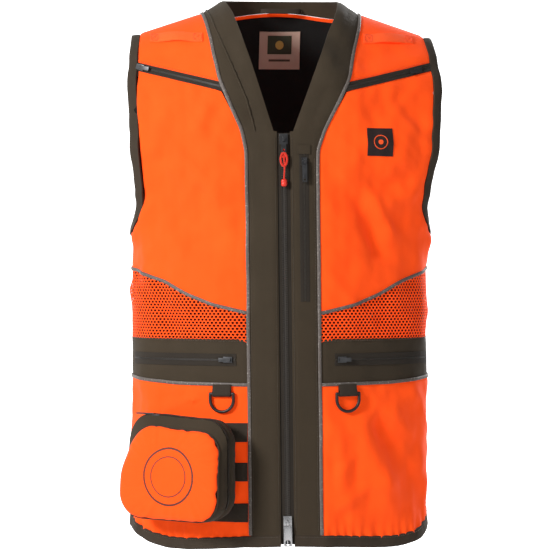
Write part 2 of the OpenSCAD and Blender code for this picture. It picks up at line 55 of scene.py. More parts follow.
# ------------------------------------------------------------------ torso
HALF_W, HALF_DEPTH, SIDE_R, CHEST_R = 204.0, 128.0, 90.0, 450.0
ROLL_D, SHOULDER_SLOPE, NECK_W, NECK_RISE, NECK_DROP = 165.0, 0.33, 109.0, 49.0, 36.0
SIDE_CX = HALF_W - SIDE_R
FRONT_R = (SIDE_CX ** 2 + HALF_DEPTH ** 2 - SIDE_R ** 2) / (2 * (HALF_DEPTH - SIDE_R))
FRONT_CY = FRONT_R - HALF_DEPTH
JOIN = math.atan2(SIDE_CX, FRONT_CY)
FRONT_ARC = FRONT_R * JOIN
QUARTER = FRONT_ARC + SIDE_R * (math.pi / 2 - JOIN)
MIX_LOW, MIX_HIGH = -300.0, -180.0
VEE_Z, HEM_Z, HEM_W = -172.0, -720.0, 15.0
RECESS = 8.7
PLACKET = {-1: 49.0, 1: 45.0}
LEAN = math.atan2(6, VEE_Z - HEM_Z)
BINDING_W, WEBBING_W, CLOTH = 13.0, 25.0, 2.2
SIDES = {-1: "right", 1: "left"}

# Lines on the cloth as (s, z)
EDGE_SHIFT = [(HEM_Z, 3.4), (VEE_Z, -2.6), (-60, 0), (0, 2)]
MESH_TOP = [(50, -412), (97, -401), (135, -387), (163, -372), (201, -361), (230, -355), (QUARTER, -351)]
BAND_TOP = [(50, -447), (163, -446), (QUARTER, -444)]
BAND_BOTTOM = [(50, -507), (150, -506), (200, -503), (QUARTER, -499)]
HEM = [(0, HEM_Z), (60, -722), (136, -727), (165, -727), (201, -721), (230, -711), (QUARTER, -700)]
ZIP_IN, ZIP_OUT = (82.5, -112.5), (207.0, -79.0)
ARMHOLE = [(217, -34), (222, -70), (225, -110), (223.5, -150), (220.5, -200), (217.5, -240), (217.5, -262),
           (223, -279), (237, -291), (QUARTER - 0.3, -296)]
ARM_INNER = [(203.8, -30), (208.5, -70), (211, -110), (210, -150), (207, -200), (204.3, -240), (205, -266),
             (211.5, -288), (227, -303), (QUARTER - 0.3, -309.5)]
# The right armhole is cut further in
RIGHT_ARM = [(-34, 4), (-70, 6.5), (-110, 8.5), (-170, 9.5), (-220, 6), (-262, 2.5), (-290, 0)]
WAIST_ZIP_Z, WAIST_ZIP_H = -474.0, 16.0
PLACKET_ZIP_S, PLACKET_ZIP = 26.7, (-199.0, -397.0)
RING_S, RING_Z = 84.0, -519.0
POUCH_W, POUCH_H, POUCH_TURN, POUCH_CORNER = 150.0, 135.0, 33.0, 34.0
POUCH_AT = (-126.0, -107.0, -616.0)
SLIDER_Z = VEE_Z - 10
RIDGE_GAP = 0.004       # how far a seam point stays below the shoulder ridge
UNROLL_R = 145          # radius that unrolls the shoulder into a flat height
FOLD_GAIN = 1.7
TOOTH_PITCH = 3.0
FLOOR_Z, WALL_Y, STAGE_X = -950, 1200, 7000

rng = np.random.default_rng(7)


def lookup(x, table):
    pts = sorted(table)
    return np.interp(x, [p[0] for p in pts], [p[1] for p in pts])


def armhole_line(line, side):
    if side > 0:
        return list(line)
    return [(a - float(lookup(z, RIGHT_ARM)), z) for a, z in line]


def smooth(t):
    t = np.clip(t, 0, 1)
    return t * t * (3 - 2 * t)


def ridge(x):
    b = np.abs(x)
    rise = NECK_RISE * np.clip(1 - (b / NECK_W) ** 2, 0, 1) ** 1.3
    return np.where(b < NECK_W, rise, -SHOULDER_SLOPE * (b - NECK_W))


def chest_x(a):
    return CHEST_R * np.sin(np.asarray(a, float) / CHEST_R)


def ridge_at(a):
    return ridge(chest_x(a))


def on_ridge(a, gap=RIDGE_GAP):
    return (a, float(ridge_at(a)) - gap)


def zip_z(a):
    return ZIP_IN[1] + (a - ZIP_IN[0]) * (ZIP_OUT[1] - ZIP_IN[1]) / (ZIP_OUT[0] - ZIP_IN[0])


def run_of(points):
    """Distance along a path at each of its points."""
    return np.concatenate([[0], np.cumsum(np.linalg.norm(np.diff(points, axis=0), axis=1))])


def turns(n):
    return np.linspace(0, 2 * math.pi, n, endpoint=False)


def base(s, z):
    """Points of the torso; s past a side seam is the back."""
    s, z = np.broadcast_arrays(np.asarray(s, float), np.asarray(z, float))
    behind = np.abs(s) > QUARTER
    a = np.where(behind, np.sign(s) * 2 * QUARTER - s, s)
    b, g = np.abs(a), np.sign(a)
    t1, t2 = b / FRONT_R, JOIN + (b - FRONT_ARC) / SIDE_R
    near = b <= FRONT_ARC
    wx = g * np.where(near, FRONT_R * np.sin(t1), SIDE_CX + SIDE_R * np.sin(t2))
    wy = np.where(near, FRONT_CY - FRONT_R * np.cos(t1), -SIDE_R * np.cos(t2))
    cx, cy = chest_x(a), CHEST_R * (1 - np.cos(a / CHEST_R)) - HALF_DEPTH
    m = smooth((z - MIX_LOW) / (MIX_HIGH - MIX_LOW))
    x, y = wx * (1 - m) + cx * m, wy * (1 - m) + cy * m
    d = np.clip((ridge(x) - z) / ROLL_D, 0, 1)
    y = y * np.sqrt(1 - (1 - d) ** 2)
    return np.stack([x, np.where(behind, -y, y), z], -1)


def normal(s, z, e=0.5):
    n = np.cross(base(s + e, z) - base(s - e, z), base(s, z + e) - base(s, z - e))
    return n / np.linalg.norm(n, axis=-1, keepdims=True)


def shift(side, a, z):
    """Distance round the torso on one side, with the front edge's own lean. side 0 is the back."""
    if side == 0:
        return 2 * QUARTER + np.asarray(a, float)
    at_seam = smooth((ridge_at(a) - z) / 30)
    return side * np.asarray(a, float) + lookup(z, EDGE_SHIFT) * np.clip((200 - a) / 140, 0, 1) * at_seam


# ------------------------------------------------------------------ folds
# Soft folds as (s, z) to (s, z), half width and height, on the fronts
FOLDS = [
    (72, -238, 160, -352, 14, -4.0), (112, -272, 206, -236, 12, 2.9), (92, -224, 176, -330, 8, 1.5),
    (58, -232, 110, -205, 13, 1.7),
    (150, -120, 196, -210, 15, 1.8), (105, -128, 124, -180, 11, -1.5), (158, -108, 172, -158, 10, -1.4),
    (88, -522, 168, -705, 19, 5.6), (118, -520, 212, -590, 16, 2.0), (60, -552, 96, -690, 11, 2.3),
    (58, -628, 104, -600, 8, 1.3), (64, -672, 128, -640, 8, 1.2),
    (176, -600, 226, -690, 15, -2.2), (190, -262, 244, -338, 14, 1.8),
    (-66, -258, -134, -205, 15, 1.7), (-96, -335, -180, -270, 17, -2.4), (-150, -120, -196, -215, 15, 1.7),
    (-100, -128, -118, -180, 11, 1.4), (-95, -540, -70, -590, 11, 1.6), (-200, -535, -236, -650, 15, 2.0),
    (-190, -255, -244, -335, 14, 1.7), (-60, -590, -74, -700, 10, 1.3),
]
BACK_FOLDS = [
    (-150, -150, -40, -260, 16, 3.0), (150, -150, 40, -260, 16, 3.0), (-190, -270, -70, -345, 15, 2.4),
    (190, -270, 70, -345, 15, 2.4), (-110, -530, -60, -690, 17, 3.0), (120, -530, 150, -690, 16, 2.6),
    (-20, -540, 25, -700, 18, 2.2), (0, -60, 10, -180, 14, -1.8),
]
WAVES = [(rng.uniform(0, 2 * math.pi), rng.uniform(0, 2 * math.pi), w, h)
         for w, h in [(150, 1.2), (110, 1.0), (85, 0.8), (60, 0.6), (44, 0.42), (31, 0.27), (23, 0.17), (17, 0.1)] * 2]


CREASES = [(rng.uniform(0.45, 0.8) * sign, rng.uniform(0, 2 * math.pi), w, h)
           for sign in (-1, 1) for w, h in [(47, 0.55), (33, 0.4), (24, 0.26)]]


def segment_fold(s, z, fold):
    s0, z0, s1, z1, width, height = fold
    d = np.array([s1 - s0, z1 - z0], float)
    length = np.hypot(*d)
    d /= length
    u = (s - s0) * d[0] + (z - z0) * d[1]
    v = -(s - s0) * d[1] + (z - z0) * d[0]
    v = v + 5 * np.sin(u / 23 + s0)
    ends = smooth(u / (0.35 * length)) * smooth((length - u) / (0.35 * length))
    hollow = 0.45 * np.exp(-((v - 1.7 * width) / width) ** 2)
    return FOLD_GAIN * height * ends * (np.exp(-(v / width) ** 2) - hollow)


def relief(s, z):
    """How far the cloth stands off the torso's own surface."""
    s, z = np.broadcast_arrays(np.asarray(s, float), np.asarray(z, float))
    h = np.zeros(s.shape)
    for direction, phase, w, height in WAVES:
        k = 2 * math.pi / w
        h = h + height * np.sin(k * (s * math.cos(direction) + z * math.sin(direction)) + phase)
    patch = 0.5 + 0.5 * np.sin(s / 41 + 1) * np.sin(z / 53 + 2)
    for direction, phase, w, height in CREASES:
        u = s * math.cos(direction) + z * math.sin(direction)
        h = h + height * patch * (1 - np.abs(np.sin(math.pi * u / w + phase + 0.8 * np.sin(z / 31)))) * 2
    back = np.abs(s) > QUARTER
    b = np.where(s > 0, s - 2 * QUARTER, s + 2 * QUARTER)
    front = sum(segment_fold(s, z, f) for f in FOLDS)
    rear = sum(segment_fold(b, z, f) for f in BACK_FOLDS)
    h = h + np.where(back, rear, front)
    a = np.where(back, 2 * QUARTER - np.abs(s), np.abs(s))
    # Calm where metal and webbing sit, along the seams and over the shoulders
    calm = smooth((a - 34) / 30)
    calm = calm * (1 - 0.75 * np.exp(-((z + 476) / 34) ** 4))
    calm = calm * np.where(back, 1, 1 - 0.9 * np.exp(-((z - zip_z(a)) / 15) ** 2))
    calm = calm * smooth((ridge_at(a) - z) / 60)
    ring = np.exp(-(((a - RING_S) / 30) ** 2 + ((z - RING_Z + 8) / 34) ** 2) ** 2)
    calm = calm * np.where(back, 1, 1 - ring)
    seam = np.exp(-((np.abs(s) - QUARTER) / 10) ** 2)
    calm = calm * (1 - 0.85 * seam)
    pouch = (s < -70) & (s > -215) & (z < -530)
    return np.where(pouch, np.minimum(h * calm, 0.8), h * calm)


def skin(s, z, depth):
    s, z = np.broadcast_arrays(np.asarray(s, float), np.asarray(z, float))
    return base(s, z) + (relief(s, z) + depth)[..., None] * normal(s, z)


# ------------------------------------------------------------------ meshes
def link(name, verts, faces, material, sharp=42):
    mesh = bpy.data.meshes.new(name)
    mesh.from_pydata((np.asarray(verts, float) * MM).tolist(), [], faces)
    mesh.validate()
    mesh.update()
    mesh.shade_smooth()
    mesh.set_sharp_from_angle(angle=math.radians(sharp))
    mesh.materials.append(material)
    piece = bpy.data.objects.new(name, mesh)
    bpy.context.scene.collection.objects.link(piece)
    return piece


def claim(piece, nodes):
    if nodes:
        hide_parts(*nodes)
    return piece


def settle(piece, body, nodes=()):
    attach(piece, body)
    return claim(piece, nodes)


def settle_blend(piece, nodes=()):
    """Cloth between the shoulders and a front: its transform is baked into the mesh and it is not parented to any body.
    """
    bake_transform(piece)
    return claim(piece, nodes)


def outline_points(outline, step):
    out = []
    for (a0, z0), (a1, z1) in zip(outline, outline[1:] + outline[:1]):
        n = max(1, int(round(math.hypot(a1 - a0, z1 - z0) / step)))
        out += [(a0 + (a1 - a0) * i / n, z0 + (z1 - z0) * i / n) for i in range(n)]
    return np.array(out)


def to_height(a, z):
    """Unrolls the shoulder: near the ridge a small fall in z is a long way over the cloth."""
    d = np.clip(ridge_at(a) - z, 0, None)
    over = np.clip(1 - d / ROLL_D, 0, 1)
    return np.where(d < ROLL_D, -np.arccos(over) * UNROLL_R, -UNROLL_R * math.pi / 2 - (d - ROLL_D))


def to_z(a, h):
    t = np.clip(-h / UNROLL_R, 0, math.pi / 2)
    return ridge_at(a) - ROLL_D * (1 - np.cos(t)) + np.minimum(0, h + UNROLL_R * math.pi / 2)


def edge_distance(p, ring):
    best = np.full(len(p), 1e9)
    for q0, q1 in zip(ring, np.roll(ring, -1, 0)):
        d = q1 - q0
        t = np.clip(((p - q0) @ d) / max(d @ d, 1e-9), 0, 1)
        best = np.minimum(best, np.linalg.norm(p - q0 - t[:, None] * d, axis=1))
    return best


def inside(p, ring):
    x, y = p[:, 0], p[:, 1]
    hit = np.zeros(len(p), bool)
    for (x0, y0), (x1, y1) in zip(ring, np.roll(ring, -1, 0)):
        cross = (y0 > y) != (y1 > y)
        hit ^= cross & (x < (x1 - x0) * (y - y0) / (y1 - y0 + 1e-12) + x0)
    return hit


def panel(name, outline, side, material, low=-CLOTH, high=0.0, step=5.0, dip=0.7, extra=None):
    """Cloth panel with a turned edge: its outline is in (s, z), and it is closed and has a thickness."""
    ring = outline_points([tuple(p) for p in outline], step)
    ring_h = np.stack([ring[:, 0], to_height(np.abs(ring[:, 0]), ring[:, 1])], 1)
    low_corner, high_corner = ring_h.min(0), ring_h.max(0)
    rows = np.arange(low_corner[1], high_corner[1], step * 0.866)
    grid = np.array([(x + (i % 2) * step / 2, y) for i, y in enumerate(rows)
                     for x in np.arange(low_corner[0], high_corner[0], step)])
    grid = grid[inside(grid, ring_h)]
    grid = grid[edge_distance(grid, ring_h) > 0.55 * step]
    if len(grid) == 0:
        grid = np.zeros((0, 2))
    pts = np.vstack([ring_h, grid])
    n = len(ring_h)
    verts, _, tris, *_ = delaunay_2d_cdt([Vector(p) for p in pts], [(i, (i + 1) % n) for i in range(n)],
                                         [], 1, 1e-4)
    flat = np.array([tuple(v) for v in verts])
    a, z = flat[:, 0], to_z(np.abs(flat[:, 0]), flat[:, 1])
    s = shift(side, a, z)
    d = edge_distance(flat, ring_h)
    tuck = dip * np.exp(-(d / 3.2) ** 2)
    if extra is not None:
        tuck = tuck - extra(a, z, d)
    outer = skin(s, z, high - tuck)
    inner = skin(s, z, low - 0.25 * tuck)
    tris = [tuple(t) if side >= 0 else tuple(t[::-1]) for t in tris]
    count = len(flat)
    edges = {}
    for t in tris:
        for i in range(3):
            edges[(t[i], t[(i + 1) % 3])] = True
    rim = [(j, i, i + count, j + count) for (i, j) in edges if (j, i) not in edges]
    faces = tris + [tuple(i + count for i in t[::-1]) for t in tris] + rim
    return link(name, np.vstack([outer, inner]), faces, material)


def resample(path, step, side):
    """Points along a path in (s, z), evenly spaced over the cloth, with their left-hand normals."""
    path = np.array(path, float)
    fine = []
    for p, q in zip(path[:-1], path[1:]):
        n = max(2, int(np.linalg.norm(q - p) / 0.8))
        fine += [p + (q - p) * i / n for i in range(n)]
    fine = np.array(fine + [path[-1]])
    xyz = base(shift(side, fine[:, 0], fine[:, 1]), fine[:, 1])
    run = run_of(xyz)
    n = max(2, int(round(run[-1] / step)))
    at = np.linspace(0, run[-1], n + 1)
    pts = np.stack([np.interp(at, run, fine[:, 0]), np.interp(at, run, fine[:, 1])], 1)
    for _ in range(2):
        pts[1:-1] = 0.25 * pts[:-2] + 0.5 * pts[1:-1] + 0.25 * pts[2:]
    d = np.gradient(pts, axis=0)
    d /= np.linalg.norm(d, axis=1, keepdims=True)
    return pts, np.stack([-d[:, 1], d[:, 0]], 1)


def rings_of(path, section, side, step, wobble=0.0):
    """One ring of points for each place on a path. The section is in (to the left, depth)."""
    pts, left = resample(path, step, side)
    rings = []
    for i, (across, depth) in enumerate(section):
        p = pts + left * across
        extra = wobble * np.sin(np.arange(len(pts)) * step / 2.1 + 0.7 * i) * (depth > 0.3)
        rings.append(skin(shift(side, p[:, 0], p[:, 1]), p[:, 1], depth + extra))
    return np.stack(rings, 1)


def loft(name, rings, material, flip=False, sharp=42, closed=False):
    n, m = rings.shape[:2]
    last = n if closed else n - 1
    faces = [(i * m + j, ((i + 1) % n) * m + j, ((i + 1) % n) * m + (j + 1) % m, i * m + (j + 1) % m)
             for i in range(last) for j in range(m)]
    if not closed:
        faces += [tuple(range(m - 1, -1, -1)), tuple((n - 1) * m + j for j in range(m))]
    if flip:
        faces = [f[::-1] for f in faces]
    piece = link(name, rings.reshape(-1, 3), faces, material, sharp)
    fix_normals(piece)
    return piece


def edit_mesh(piece, change):
    bm = bmesh.new()
    bm.from_mesh(piece.data)
    change(bm)
    bm.to_mesh(piece.data)
    bm.free()


def fix_normals(piece):
    edit_mesh(piece, lambda bm: bmesh.ops.recalc_face_normals(bm, faces=bm.faces))


def merge(name, parts):
    """Joins meshes that are one piece on the real object."""
    verts, faces, base_at, mats = [], [], 0, parts[0].data.materials[0]
    for o in parts:
        verts += [tuple(v.co / MM) for v in o.data.vertices]
        faces += [tuple(base_at + i for i in p.vertices) for p in o.data.polygons]
        base_at += len(o.data.vertices)
        bpy.data.objects.remove(o)
    return link(name, verts, faces, mats)


def blocks(name, frames, corners, quads, material, sharp=30):
    """Many copies of one small solid, each in its own frame (origin, three axes)."""
    verts, faces = [], []
    corners = np.asarray(corners, float)
    for o, x, y, z in frames:
        k = len(verts)
        verts += list(o + corners[:, :1] * x + corners[:, 1:2] * y + corners[:, 2:] * z)
        faces += [tuple(k + i for i in q) for q in quads]
    piece = link(name, verts, faces, material, sharp)
    fix_normals(piece)
    return piece


def box_solid(w, d, h, bevel=0.25):
    """Corners and faces of a small block with chamfered upright edges, centred on its origin."""
    w, d, h = w / 2, d / 2, h / 2
    c = min(w, h) * bevel * 2
    ring = [(w, h - c), (w - c, h), (-w + c, h), (-w, h - c), (-w, -h + c), (-w + c, -h), (w - c, -h), (w, -h + c)]
    corners = [(x, -d, z) for x, z in ring] + [(x, d, z) for x, z in ring]
    quads = [tuple(range(8)), tuple(range(15, 7, -1))]
    quads += [(i, (i + 1) % 8, 8 + (i + 1) % 8, 8 + i) for i in range(8)]
    return corners, quads


def cloth_frames(path, side, step, depth, across=0.0):
    """Frames along a path: x along it, y out of the cloth, z to the left of it."""
    pts, left = resample(path, step, side)
    p = pts + left * across
    q = shift(side, p[:, 0], p[:, 1])
    o = skin(q, p[:, 1], depth)
    along = np.gradient(o, axis=0)
    along /= np.linalg.norm(along, axis=1, keepdims=True)
    out = normal(q, p[:, 1])
    third = np.cross(along, out)
    return list(zip(o, along, out, third))


def stitches(name, path, side, material, body, depth=0.35, pitch=3.6, long=2.5, across=0.0, wide=0.55):
    """A row of topstitching."""
    frames = cloth_frames(path, side, pitch, depth, across)[1:-1]
    corners, quads = box_solid(long, 0.5, wide)
    piece = blocks(name, frames, corners, quads, material)
    if body == "blend":
        return settle_blend(piece)
    return settle(piece, body)


# ------------------------------------------------------------------ materials
def shader(name, rough, metallic=0.0, sheen=0.0, spec=0.5, coat=0.0):
    m = bpy.data.materials.new(name)
    m.use_nodes = True
    tree = m.node_tree
    bsdf = tree.nodes["Principled BSDF"]
    bsdf.inputs["Roughness"].default_value = rough
    bsdf.inputs["Metallic"].default_value = metallic
    bsdf.inputs["Specular IOR Level"].default_value = spec
    bsdf.inputs["Sheen Weight"].default_value = sheen
    bsdf.inputs["Coat Weight"].default_value = coat
    return m, tree, bsdf


def wire(tree, a, b):
    tree.links.new(a, b)


def two_tone(tree, factor, dark, light):
    mix = tree.nodes.new("ShaderNodeMix")
    mix.data_type = "RGBA"
    wire(tree, factor, mix.inputs[0])
    mix.inputs[6].default_value = (*dark, 1)
    mix.inputs[7].default_value = (*light, 1)
    return mix.outputs[2]


def noise(tree, coord, scale, detail=2.0, rough=0.5):
    n = tree.nodes.new("ShaderNodeTexNoise")
    n.inputs["Scale"].default_value = scale
    n.inputs["Detail"].default_value = detail
    n.inputs["Roughness"].default_value = rough
    wire(tree, coord, n.inputs["Vector"])
    return n.outputs["Fac"]


def stripes(tree, coord, scale, direction, distortion=0.4):
    w = tree.nodes.new("ShaderNodeTexWave")
    w.bands_direction = direction
    w.inputs["Scale"].default_value = scale
    w.inputs["Distortion"].default_value = distortion
    w.inputs["Detail"].default_value = 0
    wire(tree, coord, w.inputs["Vector"])
    return w.outputs["Fac"]


def maths(tree, kind, a, b):
    n = tree.nodes.new("ShaderNodeMath")
    n.operation = kind
    for i, v in enumerate((a, b)):
        if isinstance(v, (int, float)):
            n.inputs[i].default_value = v
        else:
            wire(tree, v, n.inputs[i])
    return n.outputs[0]


def bump(tree, bsdf, height, strength, distance):
    b = tree.nodes.new("ShaderNodeBump")
    b.inputs["Strength"].default_value = strength
    b.inputs["Distance"].default_value = distance
    wire(tree, height, b.inputs["Height"])
    wire(tree, b.outputs["Normal"], bsdf.inputs["Normal"])


def cloth(name, dark, light, thread=1.1, strength=0.35, rough=0.85, sheen=0.25, diagonal=False, painted_red_glow=0.0):
    """Woven cloth: crossing threads of a given width in millimetres, cloudy colour, a fine nap and an optional painted
    red glow.
    """
    m, tree, bsdf = shader(name, rough, sheen=sheen, spec=0.25)
    coord = tree.nodes.new("ShaderNodeTexCoord").outputs["Object"]
    scale = 314.0 / thread
    warp = stripes(tree, coord, scale, "DIAGONAL" if diagonal else "X")
    weft = stripes(tree, coord, scale, "Z")
    weave = maths(tree, "MULTIPLY", warp, weft)
    nap = noise(tree, coord, 900, 2)
    cloud = noise(tree, coord, 22, 4, 0.6)
    tone = maths(tree, "ADD", maths(tree, "MULTIPLY", cloud, 0.55), maths(tree, "MULTIPLY", weave, 0.45))
    colour = two_tone(tree, tone, dark, light)
    wire(tree, colour, bsdf.inputs["Base Color"])
    if painted_red_glow:
        # Painted glow: a constant red emission that keeps the fluorescent cloth's red up in shade, whatever light falls
        # on it
        bsdf.inputs["Emission Color"].default_value = (1.0, 0.04, 0.0, 1)
        bsdf.inputs["Emission Strength"].default_value = painted_red_glow
    height = maths(tree, "ADD", weave, maths(tree, "MULTIPLY", nap, 0.6))
    bump(tree, bsdf, height, strength, 0.0004)
    return m


def moulded(name, dark, light, rough, metallic=0.0, spec=0.5, coat=0.0, grain=500, strength=0.12):
    """Metal or plastic with a fine grain and slight wear in its colour."""
    m, tree, bsdf = shader(name, rough, metallic, spec=spec, coat=coat)
    coord = tree.nodes.new("ShaderNodeTexCoord").outputs["Object"]
    wear = noise(tree, coord, 160, 3, 0.6)
    wire(tree, two_tone(tree, wear, dark, light), bsdf.inputs["Base Color"])
    rough_map = tree.nodes.new("ShaderNodeMapRange")
    wire(tree, wear, rough_map.inputs["Value"])
    rough_map.inputs["To Min"].default_value = max(0, rough - 0.1)
    rough_map.inputs["To Max"].default_value = min(1, rough + 0.12)
    wire(tree, rough_map.outputs["Result"], bsdf.inputs["Roughness"])
    bump(tree, bsdf, noise(tree, coord, grain, 2), strength, 0.0002)
    return m


def flecked(name, ground, fleck, share, rough=0.6):
    """Reflective piping: grey with light flecks along it."""
    m, tree, bsdf = shader(name, rough, metallic=0.1, spec=0.5)
    coord = tree.nodes.new("ShaderNodeTexCoord").outputs["Object"]
    grain = noise(tree, coord, 420, 3, 0.7)
    ramp = tree.nodes.new("ShaderNodeValToRGB")
    ramp.color_ramp.elements[0].position = share
    ramp.color_ramp.elements[0].color = (*ground, 1)
    ramp.color_ramp.elements[1].position = min(1, share + 0.13)
    ramp.color_ramp.elements[1].color = (*fleck, 1)
    wire(tree, grain, ramp.inputs["Fac"])
    wire(tree, ramp.outputs["Color"], bsdf.inputs["Base Color"])
    bump(tree, bsdf, grain, 0.25, 0.0003)
    return m


# The glow values on the orange cloths, the orange thread and the red cord are a painted red glow: constant emission
# that lifts their shade
ORANGE = cloth("orange_fabric", (0.93, 0.078, 0.003), (1.0, 0.112, 0.006), thread=1.0, strength=0.3,
               sheen=0.05, painted_red_glow=0.3)
ORANGE_DARKER = cloth("orange_mesh", (0.95, 0.075, 0.004), (1.0, 0.11, 0.008), thread=0.7, strength=0.3,
                      sheen=0.05, painted_red_glow=0.3)
ORANGE_WEB = cloth("orange_webbing", (0.92, 0.09, 0.01), (1.0, 0.15, 0.025), thread=1.6, strength=0.6,
                   sheen=0.08, painted_red_glow=0.25)
OLIVE = cloth("olive_fabric", (0.036, 0.0255, 0.0145), (0.06, 0.042, 0.0245), thread=0.9, strength=0.35, sheen=0.04)
OLIVE_WEB = cloth("olive_webbing", (0.024, 0.017, 0.012), (0.058, 0.042, 0.028), thread=1.7, strength=0.7, sheen=0.04)
BINDING = cloth("olive_binding", (0.034, 0.024, 0.016), (0.062, 0.045, 0.029), thread=1.4, strength=0.5, sheen=0.04)
LINING = cloth("dark_lining", (0.003, 0.003, 0.0026), (0.009, 0.0085, 0.008), thread=1.2, strength=0.4, sheen=0.02)
MAROON = cloth("mesh_backing", (0.05, 0.004, 0.002), (0.075, 0.007, 0.003), thread=1.2, strength=0.3, sheen=0.1)
TAPE = cloth("zip_tape", (0.02, 0.015, 0.011), (0.042, 0.033, 0.024), thread=0.8, strength=0.4, sheen=0.05)
COIL = moulded("zip_coil", (0.018, 0.014, 0.011), (0.045, 0.036, 0.027), 0.5)
THREAD = cloth("thread", (0.05, 0.038, 0.026), (0.12, 0.092, 0.064), thread=0.4, strength=0.3)
ORANGE_THREAD = cloth("orange_thread", (0.8, 0.07, 0.008), (0.95, 0.13, 0.02), thread=0.4, strength=0.3, painted_red_glow=0.1)
PIPING = flecked("reflective_piping", (0.12, 0.1, 0.088), (0.38, 0.34, 0.31), 0.57)
LABEL = cloth("woven_label", (0.47, 0.33, 0.265), (0.6, 0.45, 0.36), thread=0.8, strength=0.35, sheen=0.1)
LABEL_GREEN = cloth("label_square", (0.03, 0.036, 0.02), (0.055, 0.062, 0.036), thread=0.6, strength=0.3)
LABEL_GOLD = cloth("label_mark", (0.42, 0.27, 0.06), (0.6, 0.42, 0.12), thread=0.6, strength=0.3)
PATCH = moulded("chest_patch", (0.02, 0.012, 0.012), (0.034, 0.021, 0.02), 0.75, spec=0.2, grain=900)
GUNMETAL = moulded("gunmetal", (0.05, 0.05, 0.052), (0.13, 0.13, 0.135), 0.34, metallic=0.9)
SILVER = moulded("bright_metal", (0.55, 0.55, 0.56), (0.78, 0.78, 0.79), 0.24, metallic=1.0)
PLASTIC = moulded("brown_plastic", (0.016, 0.009, 0.008), (0.035, 0.021, 0.019), 0.42, spec=0.4)
RED_CORD = cloth("red_cord", (0.62, 0.018, 0.008), (0.85, 0.05, 0.022), thread=0.5, strength=0.7, sheen=0.2, painted_red_glow=0.05)
RED = moulded("red_plastic", (0.68, 0.022, 0.01), (0.85, 0.04, 0.02), 0.35, coat=0.2)
PRINT = moulded("printed_rings", (0.09, 0.018, 0.01), (0.14, 0.03, 0.016), 0.7, grain=1200)

# ------------------------------------------------------------------ camera and light
AZIMUTH = math.radians(-3.0)
DISTANCE = 2.6
TARGET = Vector((-0.007, 0, -0.3617))
SPAN = 550 * 1.3886 * MM      # width of the view at the centre plane


def make_camera():
    camera = bpy.data.objects.new("camera", bpy.data.cameras.new("camera"))
    bpy.context.scene.collection.objects.link(camera)
    camera.location = TARGET + DISTANCE * Vector((math.sin(AZIMUTH), -math.cos(AZIMUTH), 0))
    camera.rotation_euler = (TARGET - camera.location).to_track_quat("-Z", "Y").to_euler()
    camera.data.sensor_width = 36
    camera.data.lens = 36 * DISTANCE / SPAN
    camera.data.clip_end = 50
    bpy.context.scene.camera = camera


def area_light(name, place_at, aim, size, power, colour=(1, 1, 1)):
    light = bpy.data.objects.new(name, bpy.data.lights.new(name, "AREA"))
    light.data.shape = "RECTANGLE"
    light.data.size, light.data.size_y = size
    light.data.energy = power
    light.data.color = colour
    light.location = place_at
    light.rotation_euler = (Vector(aim) - Vector(place_at)).to_track_quat("-Z", "Y").to_euler()
    bpy.context.scene.collection.objects.link(light)


def make_stage():
    """Pale floor that sweeps up into a backdrop."""
    floor_paper, _, bsdf = shader("studio_floor_paper", 0.95, spec=0.1)
    bsdf.inputs["Base Color"].default_value = (0.7, 0.7, 0.7, 1)
    wall_paper, _, bsdf = shader("studio_wall_paper", 0.95, spec=0.1)
    bsdf.inputs["Base Color"].default_value = (0.9, 0.9, 0.9, 1)
    bsdf.inputs["Emission Color"].default_value = (1, 1, 1, 1)
    bsdf.inputs["Emission Strength"].default_value = 1.0
    floor = [(-STAGE_X, -6000, FLOOR_Z), (STAGE_X, -6000, FLOOR_Z), (STAGE_X, WALL_Y, FLOOR_Z),
             (-STAGE_X, WALL_Y, FLOOR_Z)]
    link("studio_floor", floor, [(0, 1, 2, 3)], floor_paper)
    curve = [(2800 + 1200 * math.sin(t), FLOOR_Z + 1200 * (1 - math.cos(t))) for t in np.linspace(0.2, math.pi / 2, 8)]
    sweep = [(WALL_Y, FLOOR_Z), (2800, FLOOR_Z)] + curve + [(4000, 4500)]
    verts = [(x, y, z) for y, z in sweep for x in (-STAGE_X, STAGE_X)]
    faces = [(2 * i, 2 * i + 1, 2 * i + 3, 2 * i + 2) for i in range(len(sweep) - 1)]
    link("studio_wall", verts, faces, wall_paper)
    world = bpy.data.worlds.new("studio")
    world.use_nodes = True
    back = world.node_tree.nodes["Background"]
    back.inputs["Color"].default_value = (1, 1, 1, 1)
    back.inputs["Strength"].default_value = 0.2
    bpy.context.scene.world = world
    area_light("key", (-2.0, -1.9, 0.7), (0, 0, -0.35), (0.6, 0.6), 88)
    area_light("fill", (1.6, -2.4, 0.1), (0, 0, -0.35), (1.4, 1.8), 5)
    area_light("top", (0.1, 0.3, 1.7), (0, 0, -0.2), (1.2, 0.8), 4)
    area_light("rear_key", (1.7, 2.2, 0.8), (0, 0, -0.35), (0.7, 0.7), 70)
    area_light("rear_fill", (-1.7, 2.3, 0.1), (0, 0, -0.35), (1.2, 1.6), 12)


def set_view():
    settings = bpy.context.scene.view_settings
    settings.view_transform = "Standard"
    settings.look = "None"


# ------------------------------------------------------------------ cloth pieces
def ridge_line(a0, a1, n=8):
    return [on_ridge(float(a)) for a in np.linspace(a0, a1, n)]


def reverse(points):
    return list(points)[::-1]


def above(points, gap):
    return [(a, z + gap) for a, z in points]


def between(points, a0, a1):
    """The part of a line from a0 to a1, with its ends added."""
    pts = [p for p in points if a0 < p[0] < a1]
    return [(a0, float(lookup(a0, points)))] + pts + [(a1, float(lookup(a1, points)))]


def mirrored(half):
    """A line over the back from one side seam to the other."""
    return [(-a, z) for a, z in reverse(half)] + [(a, z) for a, z in half if a > 0]


